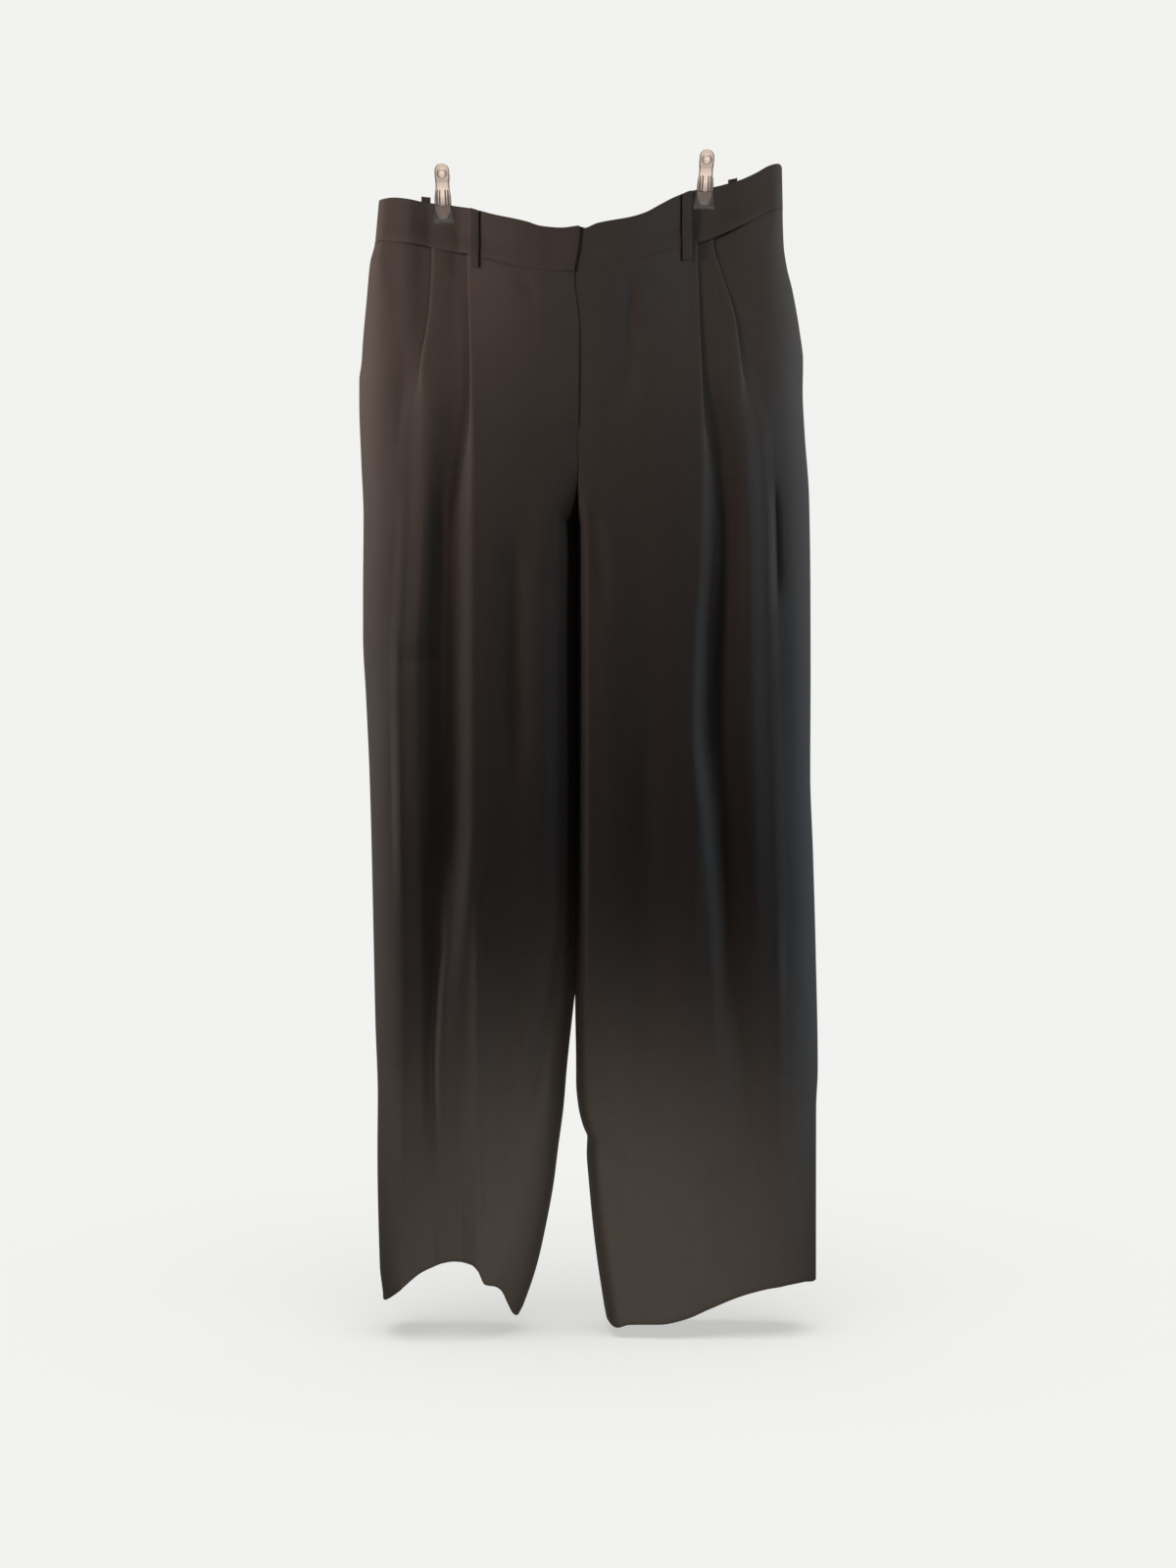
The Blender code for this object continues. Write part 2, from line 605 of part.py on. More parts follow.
def cut(host, name, bm, place):
    """Takes a bmesh, in metres, out of a piece with a Boolean."""
    mesh = bpy.data.meshes.new(name)
    bm.to_mesh(mesh)
    bm.free()
    cutter = bpy.data.objects.new(name, mesh)
    bpy.context.scene.collection.objects.link(cutter)
    cutter.hide_render = True
    cutter.display_type = "WIRE"
    cutter.parent = place
    modifier = host.modifiers.new(name, "BOOLEAN")
    modifier.operation = "DIFFERENCE"
    modifier.object = cutter


def make_material(name, colour, roughness, metallic=0.0):
    material = bpy.data.materials.new(name)
    material.use_nodes = True
    shader = material.node_tree.nodes["Principled BSDF"]
    shader.inputs["Base Color"].default_value = (*colour, 1)
    shader.inputs["Roughness"].default_value = roughness
    shader.inputs["Metallic"].default_value = metallic
    return material


def leg_panels(cloth, place):
    for name, leg in LEGS.items():
        for panel, row in (("front", front_row), ("back", back_row)):
            outward = leg.side if panel == "front" else -leg.side
            faces = [
                wall(
                    row(leg, share),
                    CLOTH,
                    outward,
                    ((leg.side, 0.0), centre_facing(leg, panel, share)),
                )
                for share in ROWS
            ]
            walled(f"{panel}_{name}", faces, cloth, place)


def band_depth(x, depths, down):
    """How far the waistband stands from the middle plane, down of the way from its top edge to the seam."""
    top, grip, seam = (depth(x) for depth in depths)
    return Curve([(0.0, top), (GRIP_ROW, grip), (1.0, seam)])(down)


def band_point(x, depths, down, forward, side_x, proud=0.0):
    """A point of the waistband's middle line, which turns in to the side edge at side_x."""
    depth = band_depth(x, depths, down) + proud
    edge_share = quarter(abs(x - side_x) / SIDE_FOLD_RADIUS)
    y = forward * max(SEAM_GAP / 2 * (1 - edge_share), depth * edge_share)
    return x, y, mix(BAND_TOP(x), WAIST_SEAM(x) + SEAM_GAP, down)


def band_side(side, down):
    """x of the waistband's side edge at this share of its height."""
    return mix(-195.0, -198.7, down) if side < 0 else mix(200.6, 201.4, down)


def fly_rise(edge, x):
    """How far the fly's overlap lifts the right half where the left half runs on beneath it."""
    return FLY_STEP * ease(1 - (edge - x) / FLY_STEP_WIDTH)


def waistband_front(side, cloth, place):
    """One front half. The wearer's right end laps over the left, which runs on underneath it."""
    depths = columns(FRONT_WAIST, 1, 2, 3)
    fly_edge = Curve([(0.0, 2.4), (0.5, 0.6), (1.0, -2.9)])
    below = BAND + SEAM_GAP
    faces = []
    for down in BAND_ROWS:
        side_x = band_side(side, down) - side * BAND / 2
        edge = fly_edge(down)
        places = rounded(side_x, -side, SIDE_FOLD_RADIUS, 3)
        if side < 0:
            clip_flat = [-153, -144, -131, -118, -109]
            places += [-170, *clip_flat, -90, -70, -50, -30, -14, edge - SEAM_GAP / 2]
            proud = [fly_rise(edge, x) for x in places]
        else:
            clip_flat = [147, 137, 123, 110, 101]
            places += [172, 160, *clip_flat, 85, 68, 50, 30, 16, edge + 5.0, edge + 0.8]
            lap = spread(edge, edge - UNDERLAP, 2) + [edge - UNDERLAP]
            proud = [0.0] * (len(places) - 1) + [FLY_STEP - below]
            proud += [fly_rise(edge, x) - below for x in lap]
            places += lap
        path = [band_point(x, depths, down, -1, side_x, p) for x, p in zip(places, proud)]
        faces.append(wall(path, BAND, side, ((side, 0.0), (0.0, -1.0))))
    walled("waistband_front_" + ("right" if side < 0 else "left"), faces, cloth, place)


def waistband_back(cloth, place):
    depths = columns(BACK_WAIST, 1, 2, 3)
    faces = []
    for down in BAND_ROWS:
        right_x = band_side(-1, down) + BAND / 2
        left_x = band_side(1, down) - BAND / 2
        places = rounded(right_x, 1, SIDE_FOLD_RADIUS, 3)
        places += [-170, -153, -144, -131, -118, -109, -90, -70, -45, -20, 0]
        places += [20, 45, 68, 85, 101, 110, 123, 137, 147, 160, 172]
        places += rounded(left_x, -1, SIDE_FOLD_RADIUS, 3)[::-1]
        path = [
            band_point(x, depths, down, 1, right_x if x < 0 else left_x) for x in places
        ]
        faces.append(wall(path, BAND, 1, ((-1.0, 0.0), (1.0, 0.0))))
    walled("waistband_back", faces, cloth, place)


def fly_shield(cloth, place):
    """The strip behind the fly, sewn to the left front and lying under the right one."""
    leg = LEFT_LEG
    faces = []
    for share in [row for row in ROWS if leg.height(row, 1.0) > FLY_BOTTOM - 8]:
        edge = leg.edges(share)[1]
        path = []
        for x in [edge + 10, edge + 2, edge - 10, edge - 22, edge - SHIELD_WIDTH]:
            host = LEFT_LEG if x > edge else RIGHT_LEG
            y = surface_y(host, "front", share, x, CLOTH + SEAM_GAP)
            path.append((x, y, leg.height(share, 1.0) - SEAM_GAP))
        faces.append(wall(path, CLOTH, 1))
    walled("fly_shield", faces, cloth, place)


def pocket(name, leg, cloth, place):
    """The strip of the pocket that shows in its mouth: it lines the side seam inside, front and back."""
    inset = CLOTH + SEAM_GAP
    faces = []
    for share in POCKET_ROWS:
        front = front_row(leg, share)
        back = back_row(leg, share)
        edge = (front[0][0], leg.middle(front[0][2]), front[0][2])
        start = tuple(mix(at_seam, behind, 0.6) for at_seam, behind in zip(edge, back[1]))
        line = [start, edge] + front[1:4]
        _, path = wall(line, 2 * inset, leg.side)
        faces.append(wall(path, CLOTH, leg.side))
    walled(f"pocket_{name}", faces, cloth, place)


def belt_loop(name, x, forward, above, cloth, place):
    """A flat strip sewn at the waistband's top edge and below the waist seam, standing off between them."""
    panel = "front" if forward < 0 else "back"
    leg = LEFT_LEG if x > 0 else RIGHT_LEG
    depths = columns(FRONT_WAIST if forward < 0 else BACK_WAIST, 1, 2, 3)
    half = LOOP_WIDTH / 2
    under = [x + half * step / 4 for step in range(-4, 5)]
    faces = []
    for n, down in enumerate(LOOP_STATIONS):
        if down > 1.0:
            share = (down - 1.0) * BAND_HEIGHT / PANEL_LENGTH
            deepest = max(abs(surface_y(leg, panel, share, at)) for at in under)
        else:
            deepest = max(band_depth(at, depths, down) for at in under)
        stands = LOOP_STANDS_OFF * math.sin(math.pi * n / (len(LOOP_STATIONS) - 1))
        y = forward * (deepest + BAND / 2 + LOOP_CLEAR + LOOP_CLOTH / 2 + stands)
        path = []
        for at in (x + half, x, x - half):
            z = mix(BAND_TOP(at), WAIST_SEAM(at), down)
            path.append((at, y, z + (above if n == 0 else 0.0)))
        faces.append(wall(path, LOOP_CLOTH, -forward))
    walled(f"belt_loop_{name}", faces, cloth, place)


def clip_plate_row(row, forward):
    """One row of a clip's plate: its turned-in sides and, on the jaw, its two ribs."""
    z, half_width, distance, flange, rib = row
    far_rib, near_rib = (share * 2 * half_width for share in CLIP_RIBS)
    middle = (far_rib + near_rib) / 2
    width = (far_rib - near_rib) / 2
    half = [(half_width, -flange), (half_width, 0.0), (middle + 1.5 * width, 0.0), (middle + 0.5 * width, rib)]
    half += [(middle - 0.5 * width, rib), (middle - 1.5 * width, 0.0)]
    path = half + [(-x, up) for x, up in reversed(half)]
    return [(x, forward * (distance + up), z) for x, up in path]


def clip_plate(name, forward, steel, place):
    """A stamped lever and jaw in one, with the hole it hangs by."""
    faces = [wall(clip_plate_row(row, forward), CLIP_STEEL, forward) for row in CLIP_PLATE]
    plate = walled(name, faces, steel, place)
    hole = bmesh.new()
    bmesh.ops.create_cone(
        hole,
        cap_ends=True,
        segments=16,
        radius1=CLIP_HOLE_RADIUS * MM,
        radius2=CLIP_HOLE_RADIUS * MM,
        depth=CLIP_CUTTER * MM,
        matrix=Matrix.Rotation(math.pi / 2, 4, "X"),
    )
    cut(plate, f"{name}_hole", hole, place)


def clip_grip(name, forward, vinyl, place):
    """The soft sleeve on a jaw's end, with a slot that the jaw sits in."""
    bm = bmesh.new()
    rings = []
    for z, half_width, face in GRIP:
        corners = [(-half_width, GRIP_FACE), (half_width, GRIP_FACE), (half_width, face), (-half_width, face)]
        rings.append([bm.verts.new((x, forward * y, z)) for x, y in corners])
    for upper, lower in zip(rings, rings[1:]):
        for n in range(4):
            m = (n + 1) % 4
            bm.faces.new((upper[n], upper[m], lower[m], lower[n]))
    bm.faces.new(rings[0])
    bm.faces.new(rings[-1])
    grip = finish(name, bm, vinyl, place)
    slot = bmesh.new()
    bmesh.ops.create_cube(slot, size=1)
    bottom = CLIP_PLATE[-1][0] - SEAM_GAP
    top = bottom + CLIP_CUTTER
    width = 2 * max(row[1] for row in CLIP_PLATE) + CLIP_STEEL + 2 * SEAM_GAP
    size = (width * MM, (GRIP_SLOT[1] - GRIP_SLOT[0]) * MM, (top - bottom) * MM)
    centre = (0, forward * sum(GRIP_SLOT) / 2 * MM, (top + bottom) / 2 * MM)
    bmesh.ops.scale(slot, verts=slot.verts, vec=size)
    bmesh.ops.translate(slot, verts=slot.verts, vec=centre)
    cut(grip, f"{name}_slot", slot, place)


def turned(name, rings, material, place):
    """A round piece along x. rings gives x and radius from end to end, and comes back for a tube."""
    bm = bmesh.new()
    tube = rings[0] == rings[-1]
    made = []
    for x, radius in rings[:-1] if tube else rings:
        ring = bmesh.ops.create_circle(
            bm,
            segments=12,
            radius=radius,
            matrix=Matrix.Translation((x, 0, SPRING_Z)) @ Matrix.Rotation(math.pi / 2, 4, "Y"),
        )
        made.append(ring["verts"])
    pairs = list(zip(made, made[1:])) + ([(made[-1], made[0])] if tube else [])
    for a, b in pairs:
        for n in range(len(a)):
            m = (n + 1) % len(a)
            bm.faces.new((a[n], a[m], b[m], b[n]))
    if not tube:
        bm.faces.new(made[0])
        bm.faces.new(made[-1])
    finish(name, bm, material, place)


def clip(name, x, z, lean, steel, dark_steel, vinyl, garment):
    place = bpy.data.objects.new(f"clip_{name}", None)
    place.location = (x * MM, 0, z * MM)
    place.rotation_euler.y = math.radians(-lean)
    place.parent = garment
    bpy.context.scene.collection.objects.link(place)
    for side, forward in (("front", -1), ("back", 1)):
        clip_plate(f"clip_{name}_{side}_plate", forward, steel, place)
        clip_grip(f"clip_{name}_{side}_grip", forward, vinyl, place)
    beside_spring = [row[1] for row in CLIP_PLATE if abs(row[0] - SPRING_Z) < 2 * SPRING_RADII[0]]
    inside = min(beside_spring) - CLIP_STEEL / 2 - SEAM_GAP
    outer, inner = SPRING_RADII
    half = inside - SPRING_ROOM
    rings = [(-half, inner), (-half, outer), (half, outer), (half, inner), (-half, inner)]
    turned(f"clip_{name}_spring", rings, dark_steel, place)
    turned(f"clip_{name}_pin", [(-inside, PIN_RADIUS), (inside, PIN_RADIUS)], dark_steel, place)


def clear_scene():
    for obj in list(bpy.data.objects):
        bpy.data.objects.remove(obj, do_unlink=True)


def main():
    clear_scene()
    _, hole_x, _, _ = CLIPS[0]
    hole_y = -columns(CLIP_PLATE, 2)[0](0.0)
    garment = bpy.data.objects.new("centre_front", None)
    garment.location = (-hole_x * MM, -hole_y * MM, 0)
    bpy.context.scene.collection.objects.link(garment)
    cloth = make_material("black_suiting", (0.035, 0.03, 0.028), 0.85)
    steel = make_material("plated_steel", (0.75, 0.62, 0.54), 0.25, 1.0)
    dark_steel = make_material("spring_steel", (0.35, 0.32, 0.3), 0.4, 1.0)
    vinyl = make_material("smoky_vinyl", (0.12, 0.11, 0.11), 0.25)
    leg_panels(cloth, garment)
    waistband_front(-1, cloth, garment)
    waistband_front(1, cloth, garment)
    waistband_back(cloth, garment)
    fly_shield(cloth, garment)
    for name, leg in LEGS.items():
        pocket(name, leg, cloth, garment)
    for loop in LOOPS:
        belt_loop(*loop, cloth, garment)
    for place in CLIPS:
        clip(*place, steel, dark_steel, vinyl, garment)
    bpy.context.view_layer.update()


main()
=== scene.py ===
"""Pleated suit trousers on two hanger clips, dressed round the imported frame.

The tables are in millimetres. x runs from the centre-front line, z from the hole in the clip on the wearer's
right, and y from the middle of the garment, with the front at -y. Left and right are the wearer's.
"""

import json
import math

import bmesh
import bpy
from mathutils import Matrix, Vector, noise

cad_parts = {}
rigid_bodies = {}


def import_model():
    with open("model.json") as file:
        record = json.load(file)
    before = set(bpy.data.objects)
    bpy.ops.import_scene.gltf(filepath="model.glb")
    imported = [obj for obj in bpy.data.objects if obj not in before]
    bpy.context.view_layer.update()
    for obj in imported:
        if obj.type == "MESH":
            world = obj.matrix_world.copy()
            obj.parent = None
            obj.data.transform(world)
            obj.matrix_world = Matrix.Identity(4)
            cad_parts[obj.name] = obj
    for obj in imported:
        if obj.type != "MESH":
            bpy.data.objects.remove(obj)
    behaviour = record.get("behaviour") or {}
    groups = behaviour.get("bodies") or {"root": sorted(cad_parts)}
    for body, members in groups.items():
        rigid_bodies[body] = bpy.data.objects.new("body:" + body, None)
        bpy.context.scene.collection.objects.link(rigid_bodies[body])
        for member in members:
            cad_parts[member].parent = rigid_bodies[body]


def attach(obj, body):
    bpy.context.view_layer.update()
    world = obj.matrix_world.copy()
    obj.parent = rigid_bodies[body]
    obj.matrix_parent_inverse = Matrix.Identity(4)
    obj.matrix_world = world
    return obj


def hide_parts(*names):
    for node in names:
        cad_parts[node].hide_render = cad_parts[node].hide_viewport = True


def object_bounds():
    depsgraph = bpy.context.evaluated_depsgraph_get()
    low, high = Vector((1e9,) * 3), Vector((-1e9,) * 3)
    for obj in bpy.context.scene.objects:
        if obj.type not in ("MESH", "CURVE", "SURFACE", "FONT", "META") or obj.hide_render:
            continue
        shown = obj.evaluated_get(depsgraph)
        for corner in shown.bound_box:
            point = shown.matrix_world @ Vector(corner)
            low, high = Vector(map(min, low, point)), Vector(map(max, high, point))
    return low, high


bl_info = {
    "name": "Pleated suit trousers",
    "version": (1, 0, 0),
    "blender": (4, 5, 0),
    "location": "3D View > Sidebar > Trousers",
    "description": "Pleated suit trousers in dark suiting, hung from two sprung clips",
    "category": "Object",
}

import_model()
CAD_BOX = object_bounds()

MM = 0.001
# How far the garment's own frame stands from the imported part's
GARMENT = Vector((132.4, 9.4, 0.0))

# Thickness of the solids' cloth, waistband and belt loops, and of the scene's cloth
CLOTH, BAND, LOOP_CLOTH, SHEET = 1.2, 2.2, 1.6, 0.9
# The gap at a seam, how far a side seam's edges stay off the middle, and how far the panels stand out on top
SEAM_GAP = 0.3
EDGE_OFF = SEAM_GAP / 6
FLUSH = 0.3

# How far below the waist seam the hips are full, between which heights the folds start, and how much flatter
# the cloth lies at a leg's sides than in its middle
WAIST_TO_HIP = 165.0
FOLDS_FROM, FOLDS_FULL_AT = -70.0, -130.0
CROWN = 0.14

# The fork, where the two legs part: the heights where it starts and where it is done, and the inseams' y
FORK_TOP = {"front": -285.0, "back": -245.0}
CROTCH, CROTCH_DEPTH = -345.0, 6.0

# How far the legs lap where they touch, how deep and wide that reaches, where it ends, and over how much height
# it comes and goes
LAP, LAP_DEPTH, LAP_WIDTH, LAP_BOTTOM = 2.2, 14.0, 20.0, -890.0
LAP_STARTS_OVER, LAP_ENDS_OVER = 30.0, 130.0

# Waistband: its height, the share of it that the clips reach down, how far it laps over the panels, and the
# radius of its side folds
BAND_HEIGHT, GRIP_ROW, BAND_LAPS, SIDE_FOLD_RADIUS = 44.0, 0.52, 0.65, 9.0
# How far its right half stands out over the left one at the fly and over what width it rises, where the left
# one steps in, between two places beside the fly's edge, and how far it runs on
FLY_STEP, FLY_STEP_WIDTH = 1.8, 26.0
FLY_STEP_FROM, FLY_STEP_TO = 5.0, 0.8
UNDERLAP, UNDERLAP_STEPS = 34.0, 5

# Front fly: its lower end, how far it stands out, and its width
FLY_BOTTOM, FLY_PROUD, FLY_WIDTH = -252.0, 1.0, 30.0
# The shield behind it: how far it reaches to both sides of the fly's edge, and where it ends, as a leg's share
SHIELD_WIDTH, SHIELD_OVER = 34.0, 10
SHIELD_BOTTOM, SHIELD_ROWS = 0.155, 40

# Pockets in the side seams: where a mouth starts and ends, as shares of the leg, and how far it gapes
POCKET_MOUTH, POCKET_GAPE, POCKET_ROWS = (0.02, 0.12), 1.5, 30
# A pocket's strip starts this far towards this point of the back's row, and goes on from this of the front's
POCKET_ROUND, POCKET_BEHIND, POCKET_UNDER = 0.6, 5, 3

# Belt loops: name, x of the middle, -1 on the front or 1 on the back, how far the top stands over the waistband
LOOPS = [
    ("front_right", -100.7, -1, -0.6),
    ("front_left", 106.8, -1, -0.6),
    ("back_right", -149.0, 1, 7.5),
    ("back_left", 152.5, 1, 7.0),
    ("back_centre", 0.0, 1, 1.0),
]
# How far they reach below the seam, bow out, stay clear of the waistband and curl in at their edges, and how
# thick they are as a share of the solids'
LOOP_WIDTH, LOOP_BELOW_SEAM = 9.0, 12.0
LOOP_STANDS_OFF, LOOP_CLEAR, LOOP_CURL, LOOP_SHARE = 0.4, 0.1, 0.25, 0.9
LOOP_STATIONS = (0.0, 0.12, 0.3, GRIP_ROW, 0.76, 1.0, 1.0 + LOOP_BELOW_SEAM / BAND_HEIGHT)
LOOP_STEPS, LOOP_ROWS = 4, 24

# Hanger clips: name, x and z of the hole in the lever, how far the clip leans, in degrees
CLIPS = [("right", -132.4, 0.0, 1.5), ("left", 126.2, 13.7, -3.3)]
CLIP_HOLE_RADIUS = 2.6
# Their plates: z from the hole, half width, distance from the middle plane, side turned in, ribs
CLIP_PLATE = [
    (9.0, 2.2, 11.6, 0.5, 0.0), (7.6, 4.6, 11.3, 0.6, 0.0), (4.6, 6.3, 10.6, 0.7, 0.0),
    (0.0, 6.8, 9.4, 0.8, 0.0), (-5.0, 6.6, 7.8, 1.6, 0.0), (-9.0, 6.3, 6.3, 4.2, 0.0),
    (-14.5, 6.5, 5.6, 4.6, 0.0), (-16.5, 6.9, 6.2, 3.4, 0.7), (-21.5, 7.4, 7.4, 1.6, 0.8),
    (-26.5, 7.6, 6.3, 0.7, 0.7), (-29.4, 7.6, 4.95, 0.4, 0.5), (-30.1, 7.6, 4.55, 0.4, 0.05),
    (-40.0, 6.4, 4.55, 0.4, 0.0), (-43.6, 4.0, 4.55, 0.4, 0.0),
]
# Half their thickness, the share of their half width that is flat, and how finely they are laid out
PLATE_HALF, PLATE_FLAT = 0.45, 0.86
PLATE_ROWS, PLATE_STEPS, CORNER_STEPS = 96, 12, 4
# The ribs' far and near edges as shares of the plate's width, how high they stand, and how steep they are
CLIP_RIBS = (0.36, 0.19)
RIB_RISES, RIB_STEEP = 1.6, 0.9
# The domed top: its centre's z, its radius and its least half width
DOME_Z, DOME_RADIUS, DOME_LEAST = 2.2, 6.8, 1.2
# The raised ring round the hole: its height, how far off the hole it is, and its width
BOSS_RISES, BOSS_OFF, BOSS_WIDTH = 0.5, 1.0, 0.8
# How far a plate falls away from its middle, and at what half width
PLATE_FALLS, PLATE_HALF_WIDTH = 0.45, 7.5
# The spring: its height, its radii, its room at both ends, its pitch in wires, and its steps a turn
SPRING_Z, SPRING_RADII, SPRING_ROOM = -11.8, (2.6, 1.6), 1.0
SPRING_PITCH, SPRING_STEPS, WIRE_SIDES = 1.06, 24, 10
PIN_RADIUS = 1.3
# The jaws' sleeves: the face on the cloth, the slot for the jaw and its length, and both roundings
GRIP_FACE, GRIP_SLOT, SLOT_LENGTH = 2.7, (3.75, 5.35), 40.0
SLEEVE_ROUNDING, SLEEVE_EDGE, SLEEVE_ROWS = 1.5, 0.5, 28
# z, half width, front face from the middle plane
GRIP = [(-30.4, 8.9, 6.1), (-38.0, 9.8, 6.2), (-45.4, 10.9, 6.3), (-45.9, 11.0, 7.0), (-47.5, 11.1, 7.0)]

# How finely the cloth is laid out: down the legs, across a front from the side inwards, and across a back
LEG_ROWS = 250
SIDE_STEPS, OUTSIDE_STEPS, BETWEEN_STEPS, INSIDE_STEPS, BACK_STEPS, BEND_STEPS = 8, 4, 4, 18, 34, 2
# Down the waistband and round its side folds, and how far apart across it
BAND_STEPS, BAND_FOLD_STEPS, BAND_PITCH = 14, 6, 3.0
# The length of a panel, how much of it the hem turns up, in which steps, and how far in its fold and cloth lie
PANEL_LENGTH, HEM_TURN = 1000.0, 30.0
HEM_ROWS = (0.0, 0.12, 0.4, 0.7, 1.0)
HEM_FOLD_IN, HEM_TURNED_IN = 0.55, 1.1


class Curve:
    """A smooth line through rows of (at, value) that never swings past them, and is level beyond its ends."""

    def __init__(self, rows):
        rows = sorted(rows)
        self.at, self.value = zip(*rows)
        steps = [(b[1] - a[1]) / (b[0] - a[0]) for a, b in zip(rows, rows[1:])]
        self.slope = [0.0] * len(rows)
        for i in range(1, len(rows) - 1):
            before, after = steps[i - 1], steps[i]
            if before * after > 0:
                self.slope[i] = 2 * before * after / (before + after)

    def __call__(self, at):
        if at <= self.at[0]:
            return self.value[0]
        if at >= self.at[-1]:
            return self.value[-1]
        i = max(k for k in range(len(self.at) - 1) if self.at[k] <= at)
        span = self.at[i + 1] - self.at[i]
        t = (at - self.at[i]) / span
        return (
            (2 * t**3 - 3 * t**2 + 1) * self.value[i]
            + (t**3 - 2 * t**2 + t) * span * self.slope[i]
            + (3 * t**2 - 2 * t**3) * self.value[i + 1]
            + (t**3 - t**2) * span * self.slope[i + 1]
        )


def columns(rows, *wanted):
    """Curves of the wanted columns against a table's first column."""
    return [Curve([(row[0], row[n]) for row in rows]) for n in wanted]


def mix(a, b, share):
    return a + (b - a) * share


def clamp(t):
    return min(1.0, max(0.0, t))


def ease(t):
    t = clamp(t)
    return t * t * (3 - 2 * t)


def quarter(t):
    """A quarter circle's height at t of its radius in from its foot, 1 beyond it."""
    return math.sqrt(1 - (1 - clamp(t)) ** 2)


# The waistband seen from the front: x, z of its top edge
BAND_TOP = Curve(
    [
        (-195, -24.5), (-180, -23), (-150, -26.5), (-130, -28.5), (-111, -31.5), (-80, -41), (-50, -49),
        (-35, -54), (-14, -56), (2, -54.5), (6, -56.5), (19, -51.5), (50, -45), (65, -40), (81, -30.5),
        (96, -21.5), (111, -15), (127, -12.5), (142, -9.5), (157, -6.5), (173, 0), (188, 8), (197, 10),
        (201, 7),
    ]
)
# x, z of the seam under it
WAIST_SEAM = Curve(
    [
        (-199, -65.5), (-153, -69.5), (-130, -74), (-104, -79), (-83, -86), (-58, -93), (-15, -99),
        (2, -99.5), (17, -97), (46, -90), (66, -83), (101, -72), (125, -65), (151, -55), (171, -45.5),
        (182, -40), (202, -33),
    ]
)

# How far the waistband stands from the middle plane: x, at its top edge, where the clips end, and at the seam.
# It is pinched flat between each clip's jaws and bows away from them on both sides.
FRONT_WAIST = [
    (-186, 7.0, 8.5, 12.0), (-166, 7.0, 8.5, 13.0), (-153, 3.6, 4.2, 10.5), (-144, 1.3, 1.3, 8.2),
    (-118, 1.3, 1.3, 8.2), (-109, 3.6, 4.2, 11.0), (-90, 9.5, 11.0, 16.0), (-60, 17.0, 19.0, 23.0),
    (-30, 21.0, 23.5, 27.0), (0, 22.0, 24.5, 28.0), (30, 21.0, 23.5, 27.0), (60, 17.0, 19.0, 23.0),
    (85, 9.8, 11.5, 17.0), (101, 3.6, 4.2, 12.0), (110, 1.3, 1.3, 9.0), (137, 1.3, 1.3, 9.0),
    (147, 3.8, 4.4, 11.5), (162, 8.0, 9.5, 14.0), (188, 9.0, 11.0, 14.0),
]
BACK_WAIST = [
    (-186, 7.0, 9.0, 13.0), (-166, 7.5, 9.5, 14.0), (-153, 4.0, 5.0, 12.0), (-144, 1.3, 1.3, 9.5),
    (-118, 1.3, 1.3, 9.5), (-109, 4.0, 5.0, 12.5), (-90, 10.5, 12.5, 19.0), (-60, 19.0, 22.0, 28.0),
    (0, 26.0, 29.5, 36.0), (60, 19.0, 22.0, 28.0), (85, 11.0, 13.0, 20.0), (101, 4.0, 5.0, 13.0),
    (110, 1.3, 1.3, 10.0), (137, 1.3, 1.3, 10.0), (147, 4.0, 5.0, 12.5), (162, 8.0, 10.0, 15.0),
    (188, 9.0, 11.0, 15.0),
]
WAIST_DEPTHS = {"front": columns(FRONT_WAIST, 1, 2, 3), "back": columns(BACK_WAIST, 1, 2, 3)}
# x of the waistband's side edges at its top and at the seam, and of the fly's edge from top to seam
BAND_SIDES = {-1: (-195.0, -198.7), 1: (200.6, 201.4)}
FLY_EDGE = Curve([(0.0, 2.4), (0.5, 0.6), (1.0, -2.9)])
# The waistband's waves: depth, how far apart across and down, how far off a clip they start and over what width
# they come, and their share at the top edge
WAVE, WAVE_ACROSS, WAVE_DOWN = 0.5, 22, 1.6
WAVE_STARTS, WAVE_OVER, WAVE_TOP = 20, 40, 0.4
FORWARD = {"front": -1, "back": 1}


def bell(t):
    """1 at 0, and soon 0 on both sides."""
    return math.exp(-(t**2))


